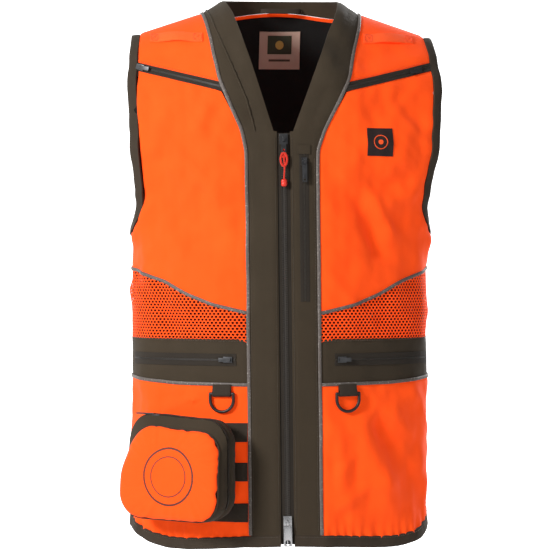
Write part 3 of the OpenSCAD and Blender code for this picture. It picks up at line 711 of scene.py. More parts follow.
def yoke(side):
    end = armhole_line([(203.9, -34), (206.5, -50), (208.6, -74)], side)
    outline = [(86.2, -103), on_ridge(110.0)] + ridge_line(118, end[0][0], 8) \
        + end[1:] + [(86.5, zip_z(86.5) + 5.4)]
    piece = panel(SIDES[side] + "_shoulder_yoke", outline, side, ORANGE, step=4.5)
    return settle_blend(piece, [SIDES[side] + "_yoke"])


def chest(side):
    w = PLACKET[side]
    neck = [(w + 0.3, -196), (55.4, -171), (83.6, -111.5 - 7.5)]
    arm = armhole_line(ARM_INNER[2:], side)
    zip_edge = [(a, zip_z(a) - 5.4) for a in (95, 150, arm[0][0] - 1.2)]
    outline = neck + zip_edge + arm + reverse(above(between(MESH_TOP, w + 0.3, QUARTER), 0.2))

    def puckers(a, z, d):
        """Small gathers under the chest zip."""
        down = zip_z(a) - z
        return 1.3 * np.exp(-down / 19) * np.sin(a / 4.6 + 1.5 * np.sin(a / 19)) * smooth(d / 5)

    outline = [p for i, p in enumerate(outline) if i == 0 or p != outline[i - 1]]
    outline = [p if p[0] < QUARTER - 0.2 else (QUARTER - 0.2, p[1]) for p in outline]
    piece = panel(SIDES[side] + "_front_chest", outline, side, ORANGE, step=4.5, extra=puckers)
    settle(piece, SIDES[side] + "_front", [SIDES[side] + "_chest_panel"])


def chest_lining(side):
    w = PLACKET[side]
    outline = [(w + 2, -200), (84, -124), (208, -92), (212, -170), (220, -262), (244, -308), (QUARTER - 1, -316),
               (QUARTER - 1, -352), (201, -363), (135, -389), (w + 2, -412)]
    piece = panel(SIDES[side] + "_chest_lining", outline, side, LINING, low=-4.1, high=-3.2, step=9, dip=0)
    return settle(piece, SIDES[side] + "_front")


def band(name, top, bottom, side, material, body, nodes, step=5.0, inner=None, dip=0.7, low=-CLOTH, high=0.0,
         extra=None):
    a1 = QUARTER - 0.25
    if side == 0:
        outline = reverse(mirrored(between(bottom, 0, a1)))
        outline = mirrored(between(top, 0, a1)) + outline
    else:
        a0 = PLACKET[side] + 0.3 if inner is None else inner
        outline = between(top, a0, a1) + reverse(between(bottom, a0, a1))
    piece = panel(name, outline, side, material, step=step, dip=dip, low=low, high=high, extra=extra)
    return settle(piece, body, nodes)


def gathers(a, z, d):
    """Small upright gathers above the hem binding."""
    up = z - lookup(a, HEM) - HEM_W
    return 1.5 * np.exp(-np.clip(up, 0, None) / 11) * np.sin(a / 2.3 + 1.6 * np.sin(a / 13)) * smooth((a - 46) / 8)


def neck_band(side):
    """Neckband and placket of one front, one long strip from the shoulder seam to the hem."""
    w = PLACKET[side]
    outer = [on_ridge(109.4), (85, -106), (55, -170), (w, -196), (w, HEM_Z + HEM_W - 7)]
    inner = [(RECESS, HEM_Z + HEM_W - 7), (RECESS, VEE_Z), (13, VEE_Z + 0.4), (46, -75), (70, -8),
             on_ridge(80.2)]
    top = ridge_line(84, 106, 5)

    def pressed(a, z, d):
        """Lengthwise crease of the folded facing."""
        inner_edge = [(-172, 13), (-75, 46), (-8, 70), (20, 80)]
        neck_mid = 0.5 * (lookup(z, [(p[1], p[0]) for p in outer[:3]]) + lookup(z, inner_edge))
        mid = np.where(z > -160, neck_mid, 0.45 * w + 4)
        crease = np.where(z > -165, 0.9, 0.35 if side < 0 else 0.0) * np.exp(-((a - mid) / 1.8) ** 2)
        return -crease + 0.5 * smooth(d / 6)

    outline = inner + top + outer
    piece = panel(SIDES[side] + "_neckband_and_placket", outline, side, OLIVE, step=4.5, extra=pressed)
    piece = settle_blend(piece, [SIDES[side] + "_placket"])
    if side < 0:
        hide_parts("neckbands")
        fold = [(-1.9, 0.2), (-1.5, 1.5), (-0.4, 2.0), (0.5, 1.3), (0.9, 0.2)]
        crease = [on_ridge(103.5, 0.3), (93, -30), (72, -80), (50, -130), (41, -160), (38, -172)]
        welt = loft("right_neckband_fold", rings_of(crease, fold, side, 3, 0.3), OLIVE, flip=True)
        settle_blend(welt)


PIPE = [(-2.3, 0.1), (-2.2, 0.9), (-1.2, 1.5), (0.0, 1.7), (1.2, 1.5), (2.2, 0.9), (2.3, 0.1), (0.0, -0.2)]


def pipe_line(name, path, side, body, nodes=(), step=4.0):
    piece = loft(name, rings_of(path, PIPE, side, step, wobble=0.10), PIPING, flip=side < 0)
    if body == "blend":
        return settle_blend(piece, nodes)
    return settle(piece, body, nodes)


def pipings(side):
    name, w = SIDES[side], PLACKET[side] + 0.3
    long = [on_ridge(109.8, 0.1), (85, -106), (70, -138), (55.5, -169), (w + 0.6, -196), (w, -220),
            (w, HEM_Z + HEM_W - 1)]
    pipe_line(name + "_placket_piping", long, side, "blend", [name + "_piping"])
    if side < 0:
        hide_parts("neck_piping")
    for label, line in (("mesh", MESH_TOP), ("band", BAND_BOTTOM)):
        pipe_line(name + "_" + label + "_piping", between(line, w + 2.6, QUARTER - 0.6), side, name + "_front")


# Binding folded over an edge: its section in (to the left of the path, depth)
FOLDED = [(BINDING_W, 0.0), (BINDING_W - 0.4, 0.8), (BINDING_W * 0.5, 1.15), (1.2, 1.1), (0.0, 0.5), (-0.6, -0.7),
          (-0.6, -1.7), (0.0, -2.7), (1.4, -3.2), (BINDING_W * 0.5, -3.2), (BINDING_W - 0.6, -2.9),
          (BINDING_W - 0.2, -2.3)]


def binding(name, path, side, section=FOLDED, step=4.5):
    return loft(name, rings_of(path, section, side, step, wobble=0.12), BINDING, flip=side < 0)


def armhole(side):
    name = SIDES[side]
    edge = reverse(armhole_line(ARMHOLE[1:], side))
    top = armhole_line([(218.5, -45), (217, -34)], side)
    edge = edge + [top[0], on_ridge(top[1][0])]
    front = loft(name + "_armhole_front", rings_of(edge, FOLDED, 1, 4.5, 0.12) * np.array([side, 1, 1]), BINDING)
    settle_blend(front, [name + "_front_binding"])
    rear = loft(name + "_armhole_back", rings_of(edge, FOLDED, 1, 4.5, 0.12) * np.array([side, -1, 1]), BINDING)
    settle(rear, "shell", [name + "_armhole_binding"])


def hem(side):
    section = [(u * HEM_W / BINDING_W, d) for u, d in FOLDED]
    if side == 0:
        path = mirrored([(0.0, HEM[0][1])] + HEM[1:-1] + [(QUARTER - 0.3, HEM[-1][1])])
        piece = binding("back_hem_binding", path, 0, section)
        return settle(piece, "shell")
    path = between(HEM, RECESS + 0.3, QUARTER - 0.4)
    piece = loft(SIDES[side] + "_hem", rings_of(path, section, side, 4.5, 0.25), BINDING)
    return settle(piece, SIDES[side] + "_front", [SIDES[side] + "_hem_binding"])


# ------------------------------------------------------------------ net
NET_PITCH, NET_ROW, NET_HOLE = 5.7, 3.9, 0.66


def net(name, top, bottom, side, body, nodes):
    """Knitted net with a real hole in each cell."""
    a1 = QUARTER - 0.3
    a0 = -a1 if side == 0 else PLACKET[side] + 0.4
    verts, faces = [], []
    wide, tall = NET_PITCH / math.sqrt(3), NET_ROW / 1.5
    turn = [math.radians(90 + 60 * i) for i in range(6)]
    for r in range(int(110 / NET_ROW) + 2):
        z = -347 - r * NET_ROW
        n = int((a1 - a0) / NET_PITCH) + 1
        for c in range(n):
            a = a0 + NET_PITCH / 2 + c * NET_PITCH + (r % 2) * NET_PITCH / 2
            if a > a1 - NET_PITCH / 2 + 0.1:
                continue
            if not (lookup(abs(a), bottom) - 1.5 < z < lookup(abs(a), top) + 1.5):
                continue
            k = len(verts)
            for share in (1, NET_HOLE):
                verts += [(a + share * wide * math.cos(t), z + share * tall * math.sin(t)) for t in turn]
            faces += [(k + i, k + (i + 1) % 6, k + 6 + (i + 1) % 6, k + 6 + i) for i in range(6)]
    flat = np.array(verts)
    a, z = np.clip(flat[:, 0], a0, a1), flat[:, 1]
    xyz = skin(shift(side, a, z), z, -0.9)
    if side < 0:
        faces = [f[::-1] for f in faces]
    piece = link(name, xyz, faces, ORANGE_DARKER)
    edit_mesh(piece, lambda bm: bmesh.ops.remove_doubles(bm, verts=bm.verts, dist=0.00012))
    thicken = piece.modifiers.new("thickness", "SOLIDIFY")
    thicken.thickness = 0.0006
    thicken.offset = 0
    apply_modifiers(piece)
    return settle(piece, body, nodes)


def apply_modifiers(piece):
    depsgraph = bpy.context.evaluated_depsgraph_get()
    mesh = bpy.data.meshes.new_from_object(piece.evaluated_get(depsgraph))
    piece.modifiers.clear()
    piece.data = mesh


# ------------------------------------------------------------------ zips
def zip_axes():
    along = np.array([-math.sin(LEAN), 0, math.cos(LEAN)])
    across = np.array([math.cos(LEAN), 0, math.sin(LEAN)])
    return across, np.array([0.0, 1.0, 0.0]), along


def zip_point(z):
    return np.array([float(lookup(z, EDGE_SHIFT)), -HALF_DEPTH, z])


def main_zip(side):
    """Tape and moulded teeth of one half, with its end stops."""
    across, out, along = zip_axes()
    name = SIDES[side]
    top, bottom = VEE_Z - 3, HEM_Z + 2
    count = int((top - bottom - 8) / TOOTH_PITCH)
    corners = [(0.2, 0.9, -0.75), (3.4, 0.9, -0.95), (3.4, 3.4, -0.95), (0.2, 3.4, -0.75),
               (0.2, 0.9, 0.75), (3.4, 0.9, 0.95), (3.4, 3.4, 0.95), (0.2, 3.4, 0.75),
               (-1.0, 1.2, -0.6), (-1.0, 3.1, -0.6), (-1.0, 3.1, 0.6), (-1.0, 1.2, 0.6)]
    quads = [(1, 2, 6, 5), (0, 1, 5, 4), (2, 3, 7, 6), (0, 3, 2, 1), (4, 5, 6, 7),
             (8, 9, 3, 0), (4, 7, 10, 11), (8, 0, 4, 11), (9, 10, 7, 3), (8, 11, 10, 9)]
    start = top - 4
    offset = 0 if side < 0 else TOOTH_PITCH / 2
    frames = [(zip_point(start - TOOTH_PITCH * i - offset), across * side, out, along) for i in range(count)]
    teeth = blocks(name + "_zip_teeth", frames, corners, quads, COIL, sharp=25)
    tape_ring = [(0.15, 3.3), (2.2, 2.2), (3.6, 2.0), (9, 2.9), (16, 3.2), (16, 3.8), (9, 3.6), (3.4, 3.0), (0.15, 3.9)]
    rings = [[zip_point(z) + across * side * u + out * v for u, v in tape_ring]
             for z in np.linspace(top + 1, bottom, 24)]
    tape = loft(name + "_zip_tape", np.array(rings), TAPE, sharp=60)
    stop_corners, stop_quads = box_solid(4.6, 3.6, 10, 0.2)
    stops = blocks(name + "_zip_stop", [(zip_point(bottom + 6) + across * side * 3.0 + out * 2.2, across, out, along)],
                   stop_corners, stop_quads, GUNMETAL)
    settle(tape, name + "_front", [name + "_zip"])
    settle(teeth, name + "_front")
    settle(stops, name + "_front")


def coil_zip(name, path, side, body, width, nodes=(), depth=0.9, pitch=1.7):
    """Pocket zip: two tapes with a lip each and a spiral coil between them."""
    h = width / 2
    for label, sign in (("upper", 1), ("lower", -1)):
        section = [(sign * 1.1, depth - 0.55), (sign * 1.3, depth - 0.05), (sign * h * 0.72, depth + 0.12),
                   (sign * h, depth - 0.15), (sign * h, depth - 0.75), (sign * 1.3, depth - 0.8)]
        lip = loft(name + "_" + label + "_tape", rings_of(path, section, side, 5, 0.05), TAPE, sharp=60)
        settle(lip, body, nodes if label == "upper" else ())
    corners, quads = box_solid(pitch * 0.62, 0.9, 2.6, 0.2)
    coil = blocks(name + "_coil", cloth_frames(path, side, pitch, depth - 0.1)[1:-1], corners, quads, COIL)
    settle(coil, body)


# ------------------------------------------------------------------ hardware from the CAD
def refined(node, material, bevel=0.45, segments=3):
    """A CAD part with its edges rounded, in place of the CAD node, on the body of the same name."""
    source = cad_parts[node]
    bm = bmesh.new()
    bm.from_mesh(source.data)
    bmesh.ops.remove_doubles(bm, verts=bm.verts, dist=1e-6)
    bmesh.ops.dissolve_limit(bm, angle_limit=math.radians(2), verts=bm.verts, edges=bm.edges)
    sharp = [e for e in bm.edges if len(e.link_faces) == 2 and e.calc_face_angle() > math.radians(50)]
    bmesh.ops.bevel(bm, geom=sharp, offset=bevel * MM, segments=segments, profile=0.6, affect="EDGES",
                    clamp_overlap=True)
    bmesh.ops.recalc_face_normals(bm, faces=bm.faces)
    mesh = bpy.data.meshes.new(node + "_rounded")
    bm.to_mesh(mesh)
    bm.free()
    mesh.shade_smooth()
    mesh.set_sharp_from_angle(angle=math.radians(35))
    mesh.materials.append(material)
    piece = bpy.data.objects.new(node + "_rounded", mesh)
    bpy.context.scene.collection.objects.link(piece)
    return settle(piece, node, [node])


def dress(node, material):
    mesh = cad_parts[node].data
    mesh.materials.clear()
    mesh.materials.append(material)


# ------------------------------------------------------------------ collar, labels, webbing
def collar_foot(t):
    x = NECK_W * np.sin(t)
    d = NECK_DROP * (1 - np.sin(t) ** 2)
    half = HALF_DEPTH - CHEST_R + np.sqrt(CHEST_R ** 2 - x ** 2)
    k = np.sqrt(1 - (1 - np.clip(d / ROLL_D, 0, 1)) ** 2)
    return np.stack([x, half * k, ridge(x) - d + 0.3], -1)


def collar_head(t):
    return np.stack([79 * np.sin(t), 72 * np.cos(t), 18.6 + 9.9 * np.cos(t)], -1)


def make_collar():
    angles = np.radians(np.linspace(89.7, -89.7, 61))
    foot, head = collar_foot(angles), collar_head(angles)
    out = np.stack([np.sin(angles), np.cos(angles), 0.35 + 0 * angles], -1)
    section = [(0, 0), (0.25, 0.35), (0.75, 0.35), (0.97, 0.1), (1.0, -0.9), (0.97, -2.2), (0.75, -2.4),
               (0.3, -2.4), (0.0, -2.2)]
    rings = np.stack([foot + (head - foot) * u + out * v for u, v in section], 1)
    settle(loft("stand_collar", rings, OLIVE), "shell", ["collar"])


def make_hanger():
    x = np.linspace(-29, 29, 25) + 5
    y = 68 - 8.0 * np.sqrt(np.clip(1 - ((x - 5) / 29) ** 4, 0, 1))
    z = 13.5 - 0.8 * np.cos((x - 5) / 29 * math.pi / 2)
    section = [(-3.4, 0), (-3.0, -0.6), (3.0, -0.6), (3.4, 0), (3.0, 0.6), (-3.0, 0.6)]
    rings = [[(xi, yi + v, zi + u) for u, v in section] for xi, yi, zi in zip(x, y, z)]
    settle(loft("hook_loop", np.array(rings), OLIVE_WEB), "shell", ["hanger_loop"])


def plate(name, b0, b1, z0, z1, side, material, body, low, high, nodes=(), step=4, dip=0.3):
    outline = [(b0, z0), (b1, z0), (b1, z1), (b0, z1)]
    return settle(panel(name, outline, side, material, low=low, high=high, step=step, dip=dip), body, nodes)


def disc_outline(cx, cz, r, n=28):
    return [(cx + r * math.cos(2 * math.pi * i / n), cz + r * math.sin(2 * math.pi * i / n)) for i in range(n)]


def make_labels():
    # On the inside of the back the label faces forward, so "in front" is deeper
    plate("main_label", -35.3, 25.3, -9, -62, 0, LABEL, "shell", -6.2, -5.0, ["neck_labels"])
    plate("label_square", -23, 13, -14, -40, 0, LABEL_GREEN, "shell", -6.7, -6.3)
    dot = panel("label_dot", disc_outline(-5, -27, 6.2), 0, LABEL_GOLD, low=-7.1, high=-6.8, step=2, dip=0)
    settle(dot, "shell")
    plate("label_bar", -21, 11, -47.5, -50.5, 0, THREAD, "shell", -6.6, -6.3)
    plate("label_size_tab", -11, 1, -62.6, -71, 0, LINING, "shell", -6.2, -5.2)


def webbing_patch(name, side, a0, a1, z_mid, width, material, bow=0.0, high=1.5):
    """Flat webbing laid across the cloth, which may bow out between its ends."""
    n = 26
    a = np.linspace(a0, a1, n)
    zc = z_mid(a) if callable(z_mid) else np.full(n, float(z_mid))
    t = np.linspace(0, 1, n)
    lift = 0.35 + bow * np.sin(np.pi * np.clip((t - 0.18) / 0.64, 0, 1)) ** 0.8
    edge = width / 2
    section = [(edge, 0.0), (edge - 0.3, 1.0), (edge * 0.5, 1.25), (0, 1.2), (-edge * 0.5, 1.25), (-edge + 0.3, 1.0),
               (-edge, 0.0), (0, -0.05)]
    rings = []
    for i in range(n):
        rings.append([skin(shift(side, a[i], zc[i]), zc[i] + u, lift[i] + v * high / 1.25) for u, v in section])
    return loft(name, np.array(rings), material)


def make_shoulder_loops():
    for side in (-1, 1):
        def mid(a):
            return -39.5 - 0.03 * (180 - np.asarray(a, float))
        piece = webbing_patch(SIDES[side] + "_shoulder_loop", side, 110, 184, mid, 13, ORANGE_WEB, bow=2.2)
        settle_blend(piece, ["shoulder_loops"] if side < 0 else ())
        for label, a0, a1 in (("inner", 111.5, 122), ("outer", 172, 182.5)):
            ring = [(a0, -5), (a1, -5), (a1, 5), (a0, 5), (a0, -5), (a1, 5), (a1, -5), (a0, 5)]
            path = [(a, float(mid(a)) + dz) for a, dz in ring]
            stitches(f"{SIDES[side]}_loop_box_{label}", path, side, ORANGE_THREAD, "blend", depth=2.1, pitch=2.6,
                     long=1.8)


def make_ladder():
    parts = []
    for z in (-570, -622, -676):
        parts.append(webbing_patch("strap", -1, PLACKET[-1] + 3.0, 186, z, WEBBING_W, OLIVE_WEB))
    settle(merge("webbing_ladder", parts), "right_front", ["strap_ladder"])


def front_frame(s, z):
    """Frame on the front: origin, across, out of the chest (negative y) and up."""
    g = s / FRONT_R
    across = np.array([math.cos(LEAN) * math.cos(g), math.cos(LEAN) * math.sin(g), math.sin(LEAN)])
    inward = np.array([-math.sin(g), math.cos(g), 0])
    up = np.cross(across, inward)
    return base(s, z), across, inward, up


def make_ring_tab(side):
    """Webbing folded round the D-ring's bar and sewn down."""
    o, x, y, z = front_frame(side * RING_S, RING_Z)
    t = np.radians(np.linspace(-90, 90, 9))
    r = 2.55
    loop_in = [(-3.6 - r * math.sin(k), -r * math.cos(k)) for k in t]
    outer = [(-3.6 - (r + 1.4) * math.sin(k), -(r + 1.4) * math.cos(k)) for k in t][::-1]
    end = [(-3.4 - r, 3), (-3.0, 7), (-2.6, 11.5), (-3.4, 12.5), (-4.4, 11.5), (-5.0, 7), (-5.9 - r * 0.3, 3)]
    profile = [(-0.45, 12.5), (-3.6 + r, 3)] + loop_in + end + outer + [(-0.35, 2)]
    half = WEBBING_W / 2
    rows = []
    for u in (-half, -half + 0.6, -half * 0.4, half * 0.4, half - 0.6, half):
        squeeze = 0.25 if abs(u) == half else 0.0
        rows.append([o + x * u + y * (v + squeeze * np.sign(-3 - v)) + z * w for v, w in profile])
    piece = loft(SIDES[side] + "_ring_webbing", np.array(rows), OLIVE_WEB, sharp=50)
    settle(piece, SIDES[side] + "_front", [SIDES[side] + "_ring_tab"])


# ------------------------------------------------------------------ pouch
def pouch_place(p):
    """From the pouch's own frame (x across, y back, z up) to the part's own frame."""
    g = math.radians(-POUCH_TURN)
    turn = np.array([[math.cos(g), -math.sin(g), 0], [math.sin(g), math.cos(g), 0], [0, 0, 1]])
    return np.asarray(p, float) @ turn.T + np.array(POUCH_AT)


def rounded_loop(w, h, r, n=128):
    """Points round a rectangle with round corners, evenly spaced."""
    pts = []
    for cx, cz, start in ((1, 1, 0), (-1, 1, 90), (-1, -1, 180), (1, -1, 270)):
        for k in range(13):
            t = math.radians(start + 90 * k / 12)
            pts.append((cx * (w / 2 - r) + r * math.cos(t), cz * (h / 2 - r) + r * math.sin(t)))
    pts = np.array(pts + pts[:1])
    run = run_of(pts)
    at = np.linspace(0, run[-1], n, endpoint=False)
    return np.stack([np.interp(at, run, pts[:, 0]), np.interp(at, run, pts[:, 1])], 1)


def slouch(p):
    """The bag sags: its front leans down and in at the top, and its outline is not quite square."""
    x, y, z = p[:, 0], p[:, 1], p[:, 2]
    forward = smooth((-y - 25) / 18)
    top = smooth((z + 15) / 75)
    z2 = z - 13 * forward * top - 2.0 * np.sin(x / 24) * top
    left = smooth(-x / 60)
    x2 = x * (1 - 0.045 * forward * smooth((x + 30) / 90)) - 5 * left + 11 * forward * top * left \
        + 3.0 * np.sin(z / 26) * left
    y2 = y + 3.5 * forward * top + 1.1 * np.sin(x / 17 + z / 26) * smooth((-y - 44) / 6)
    return np.stack([x2, y2, z2], 1)


def pouch_rings(profile, wrinkle=0.0, seed=3):
    """Rings round the pouch from (inset, y) pairs."""
    n = 160
    local = np.random.default_rng(seed)
    rings = []
    ang = turns(n)
    pucker = sum(local.uniform(0.4, 1) * np.sin(k * ang + local.uniform(0, 6.3)) for k in (4, 7, 12, 19, 27, 38)) / 2.6
    for inset, y in profile:
        loop = rounded_loop(POUCH_W - 2 * inset, POUCH_H - 2 * inset, max(POUCH_CORNER - inset * 0.8, 3), n)
        sag = 2.0 * np.exp(-((loop[:, 1] + POUCH_H / 2) / 40) ** 2)
        fade = math.exp(-inset / 16)
        yy = y + wrinkle * pucker * fade - sag * 0.6
        loop = loop + loop / np.linalg.norm(loop, axis=1, keepdims=True) * (0.6 * wrinkle * pucker * fade)[:, None]
        rings.append(pouch_place(slouch(np.stack([loop[:, 0], yy, loop[:, 1]], 1))))
    return np.array(rings)


def make_pouch():
    # Front face: a gathered edge rising to a soft dome
    dome = [(2.5, -42.6), (1.6, -44.2), (2.2, -46), (4.5, -47.6), (8, -48.8), (14, -50.2), (22, -51.4), (32, -52.4),
            (44, -53), (56, -53.2), (64, -53.2)]
    face = loft("pouch_face", pouch_rings(dome, 1.9), ORANGE, sharp=60)
    settle(face, "right_front", ["pouch_front"])
    wall = [(14, -4.4), (4, -4.3), (0.6, -6), (-0.6, -14), (-1.0, -20.5), (0.2, -21.6), (0.2, -27.4), (-1.0, -28.5),
            (-0.8, -36), (0.8, -41.4), (3.5, -42.3), (14, -42.3)]
    gusset = loft("pouch_sides", pouch_rings(wall, 0.55, 5), OLIVE, sharp=60)
    settle(gusset, "right_front", ["pouch_gusset"])
    rear = [(40, -0.2), (12, -0.1), (6, -0.6), (5.4, -2), (6, -3.4), (12, -3.7), (40, -3.7)]
    back = loft("pouch_rear", pouch_rings(rear, 0.1), OLIVE, sharp=60)
    settle(back, "right_front", ["pouch_back"])
    # Coil zip round the gusset, open side up
    loop = rounded_loop(POUCH_W + 0.6, POUCH_H + 0.6, POUCH_CORNER, 300)
    frames = []
    for p, q in zip(loop, np.roll(loop, -1, 0)):
        if p[1] < -POUCH_H / 2 + 18:
            continue
        o, ahead = pouch_place(slouch(np.array([(p[0], -24.5, p[1]), (q[0], -24.5, q[1])])))
        along = ahead - o
        along /= np.linalg.norm(along)
        depth = pouch_place([(0, 1, 0)])[0] - pouch_place([(0, 0, 0)])[0]
        frames.append((o, along, np.cross(along, depth), depth))
    corners, quads = box_solid(1.2, 1.2, 3.2, 0.2)
    settle(blocks("pouch_zip_coil", frames, corners, quads, COIL), "right_front")
    # Rolled seam between the face and the gusset
    seam_loop = rounded_loop(POUCH_W - 2.0, POUCH_H - 2.0, POUCH_CORNER - 1, 160)
    t = turns(8)
    rings = []
    for p in seam_loop:
        d = p / np.linalg.norm(p)
        rings.append(pouch_place(slouch(np.array([(p[0] + d[0] * 1.3 * math.cos(k), -42.6 + 1.3 * math.sin(k),
                                                   p[1] + d[1] * 1.3 * math.cos(k)) for k in t]))))
    settle(loft("pouch_seam", np.array(rings), BINDING, closed=True), "right_front")
    # Two plain printed rings
    tree = BVHTree.FromObject(face, bpy.context.evaluated_depsgraph_get())
    for label, radius, width in (("outer", 37.0, 1.5), ("inner", 26.0, 0.8)):
        section = ((-width, 0.3), (-width * 0.8, -0.3), (width * 0.8, -0.3), (width, 0.3))
        rings = []
        for k in turns(72):
            c, d = math.cos(k), math.sin(k)
            rings.append(pouch_place([((radius + u) * c, laid_on(tree, (radius + u) * c, (radius + u) * d - 9) + v,
                                       (radius + u) * d - 9)
                                      for u, v in section]))
        settle(loft("pouch_ring_" + label, np.array(rings), PRINT, closed=True), "right_front")
    # Flat tongues behind the pouch; they are not threaded through the ladder
    for label, x in (("one", -30), ("two", 30)):
        rings = [pouch_place([(x - 12.5, y, z), (x - 12.2, y - 1.4, z), (x + 12.2, y - 1.4, z), (x + 12.5, y, z)])
                 for y, z in ((0.2, 52), (1.4, 30), (1.6, 0), (1.4, -30), (0.2, -54))]
        settle(loft("pouch_tongue_" + label, np.array(rings), OLIVE_WEB), "right_front")


def laid_on(tree, x, z):
    """Depth of the pouch's face in its own frame, below a point in front of it."""
    start, ahead = pouch_place([(x, -90, z), (x, -89, z)]) * MM
    hit = tree.ray_cast(Vector(start), Vector(ahead - start).normalized())
    return -90 + hit[3] / MM


# ------------------------------------------------------------------ pull cord
CORD_POINTS = [(0, -3.5, -18.3), (0, -3.6, -23), (0.4, -3.8, -28), (0.8, -4, -33), (0.9, -4.1, -38),
               (0.6, -4.1, -43), (0.3, -4, -48), (0, -3.9, -53)]
CORD_R = 1.1


def on_zip(z, p):
    across, out, along = zip_axes()
    return zip_point(z) + across * p[0] + out * p[1] + along * p[2]


def tube_rings(points, r, n=12, closed=False):
    pts = np.array(points)
    d = np.roll(pts, -1, 0) - np.roll(pts, 1, 0) if closed else np.gradient(pts, axis=0)
    d /= np.linalg.norm(d, axis=1, keepdims=True)
    hint = (0.05, 1, 0.02) if closed else (0.3, 1, 0.1)
    rings = []
    for p, w in zip(pts, d):
        u = np.cross(w, hint)
        u /= np.linalg.norm(u)
        v = np.cross(w, u)
        rings.append([p + r * (math.cos(k) * u + math.sin(k) * v) for k in turns(n)])
    return np.array(rings)


def make_cord():
    path = [on_zip(SLIDER_Z, p) for p in CORD_POINTS]
    run = run_of(path)
    at = np.linspace(0, run[-1], 30)
    fine = np.stack([np.interp(at, run, np.array(path)[:, i]) for i in range(3)], 1)
    cord = loft("zip_cord", tube_rings(fine, CORD_R), RED_CORD, sharp=60)
    settle(cord, "top_puller", ["pull_cord"])
    # Bead: a turned barrel
    profile = [(0.6, 0), (2.4, 0.3), (3.5, 1.2), (4.0, 2.6), (4.0, 4.2), (3.7, 5.0), (4.0, 5.8), (4.0, 7.6), (3.3, 9.2),
               (2.0, 10), (0.6, 10.1)]
    rings = [[on_zip(SLIDER_Z, (r * math.cos(k), -3.9 + r * 0.8 * math.sin(k), -53 - h))
              for k in turns(20)] for r, h in profile]
    bead = loft("pull_bead", np.array(rings), RED, sharp=50)
    settle(bead, "top_puller", ["cord_bead"])
    # Doubled cord that passes through the puller's eye
    loop = [on_zip(SLIDER_Z, (2.6 * math.sin(k), -3.5 + 2.3 * math.cos(k) * 0.55, -19.5 + 5.6 * math.cos(k)))
            for k in turns(28)]
    wide = [on_zip(SLIDER_Z, (4.2 * math.sin(k), -4.4, -27.5 + 8.5 * math.cos(k)))
            for k in turns(32)]
    for label, ring, r in (("eye", loop, 0.9), ("loop", wide, 1.5)):
        rings = tube_rings(ring, r, 10, closed=True)
        settle(loft("cord_" + label, rings, RED_CORD, closed=True), "top_puller")


# ------------------------------------------------------------------ build
set_view()
make_camera()
make_cord()

for side in (-1, 1):
    name = SIDES[side]
    body = name + "_front"
    yoke(side)
    chest_lining(side)
    chest(side)
    neck_band(side)
    net(name + "_net", MESH_TOP, BAND_TOP, side, body, [name + "_mesh"])
    band(name + "_net_backing", above(MESH_TOP, 3), above(BAND_TOP, -3), side, MAROON, body,
         [name + "_mesh_lining"], step=9, dip=0, low=-4.6, high=-3.9, inner=PLACKET[side] + 1)
    band(name + "_waistband", BAND_TOP, BAND_BOTTOM, side, OLIVE, body, [name + "_waist_band"],
         step=5, dip=1.0)
    skirt = band(name + "_skirt", above(BAND_BOTTOM, -0.4), above(HEM, HEM_W - 3), side, ORANGE, body,
                 [name + "_lower_panel"], step=4, extra=gathers)
    pipings(side)
    armhole(side)
    hem(side)
    main_zip(side)
    make_ring_tab(side)
    zip_path = [(a, zip_z(a)) for a in np.linspace(ZIP_IN[0] - 1, 212 if side > 0 else 204.5, 12)]
    coil_zip(name + "_chest_zip", zip_path, side, body, 11.5, [name + "_pocket_zips"], depth=0.5)
    waist_path = [(a, WAIST_ZIP_Z) for a in np.linspace(66, 232, 20)]
    coil_zip(name + "_waist_zip", waist_path, side, body, WAIST_ZIP_H, depth=0.95)

hem(0)
outline = mirrored(between(ARM_INNER, 203.9, QUARTER - 0.25))


def back_neck(b):
    """Top edge of the back, cut down at the neck."""
    x = float(chest_x(b))
    drop = NECK_DROP * (1 - (x / NECK_W) ** 2) if abs(x) < NECK_W else 0
    return (b, float(ridge_at(b) - drop) - 0.01)


neck_curve = [back_neck(b) for b in np.linspace(-112, 112, 29)]
right_arm = armhole_line(ARM_INNER[1:-1], -1)
top_line = [(-QUARTER + 0.25, -309.5)] + [(-a, z) for a, z in reverse(ARM_INNER[1:-1])] \
    + [(-a, z) for a, z in reverse(ridge_line(118, 203.9, 8))] + neck_curve + ridge_line(118, 199.9, 8) + right_arm \
    + [(QUARTER - 0.25, -309.5)]
back_bottom = reverse(mirrored(between(above(MESH_TOP, 0.2), 0, QUARTER - 0.25)))
back = panel("back_upper", top_line + back_bottom, 0, ORANGE, step=6)
settle(back, "shell", ["back_panel"])
lining_line = [(-196, -345), (-200, -200), (-198, -60)] + [(-a, z - 5) for a, z in reverse(ridge_line(120, 194, 6))] \
    + above(neck_curve[1:-1], -3) + above(ridge_line(120, 194, 6), -5) + [(198, -60), (200, -200), (196, -345)]
lining = panel("back_inner_lining", lining_line, 0, LINING, low=-4.4, high=-3.4, step=8, dip=0)
settle(lining, "shell", ["back_lining"])
net("back_net", MESH_TOP, BAND_TOP, 0, "shell", ["back_mesh"])
band("back_net_backing", above(MESH_TOP, 3), above(BAND_TOP, -3), 0, MAROON, "shell", [], step=9, dip=0,
     low=-4.6, high=-3.9)
band("back_waistband", BAND_TOP, BAND_BOTTOM, 0, OLIVE, "shell", ["back_waist_band"], step=6, dip=1.0)
back_skirt = band("back_skirt", above(BAND_BOTTOM, -0.4), above(HEM, HEM_W - 3), 0, ORANGE, "shell",
                  ["back_lower_panel"], step=6)
for label, line in (("mesh", MESH_TOP), ("band", BAND_BOTTOM)):
    pipe_line("back_" + label + "_piping", mirrored(between(line, 0, QUARTER - 0.6)), 0, "shell")
make_collar()
make_hanger()
make_labels()
make_shoulder_loops()
make_ladder()
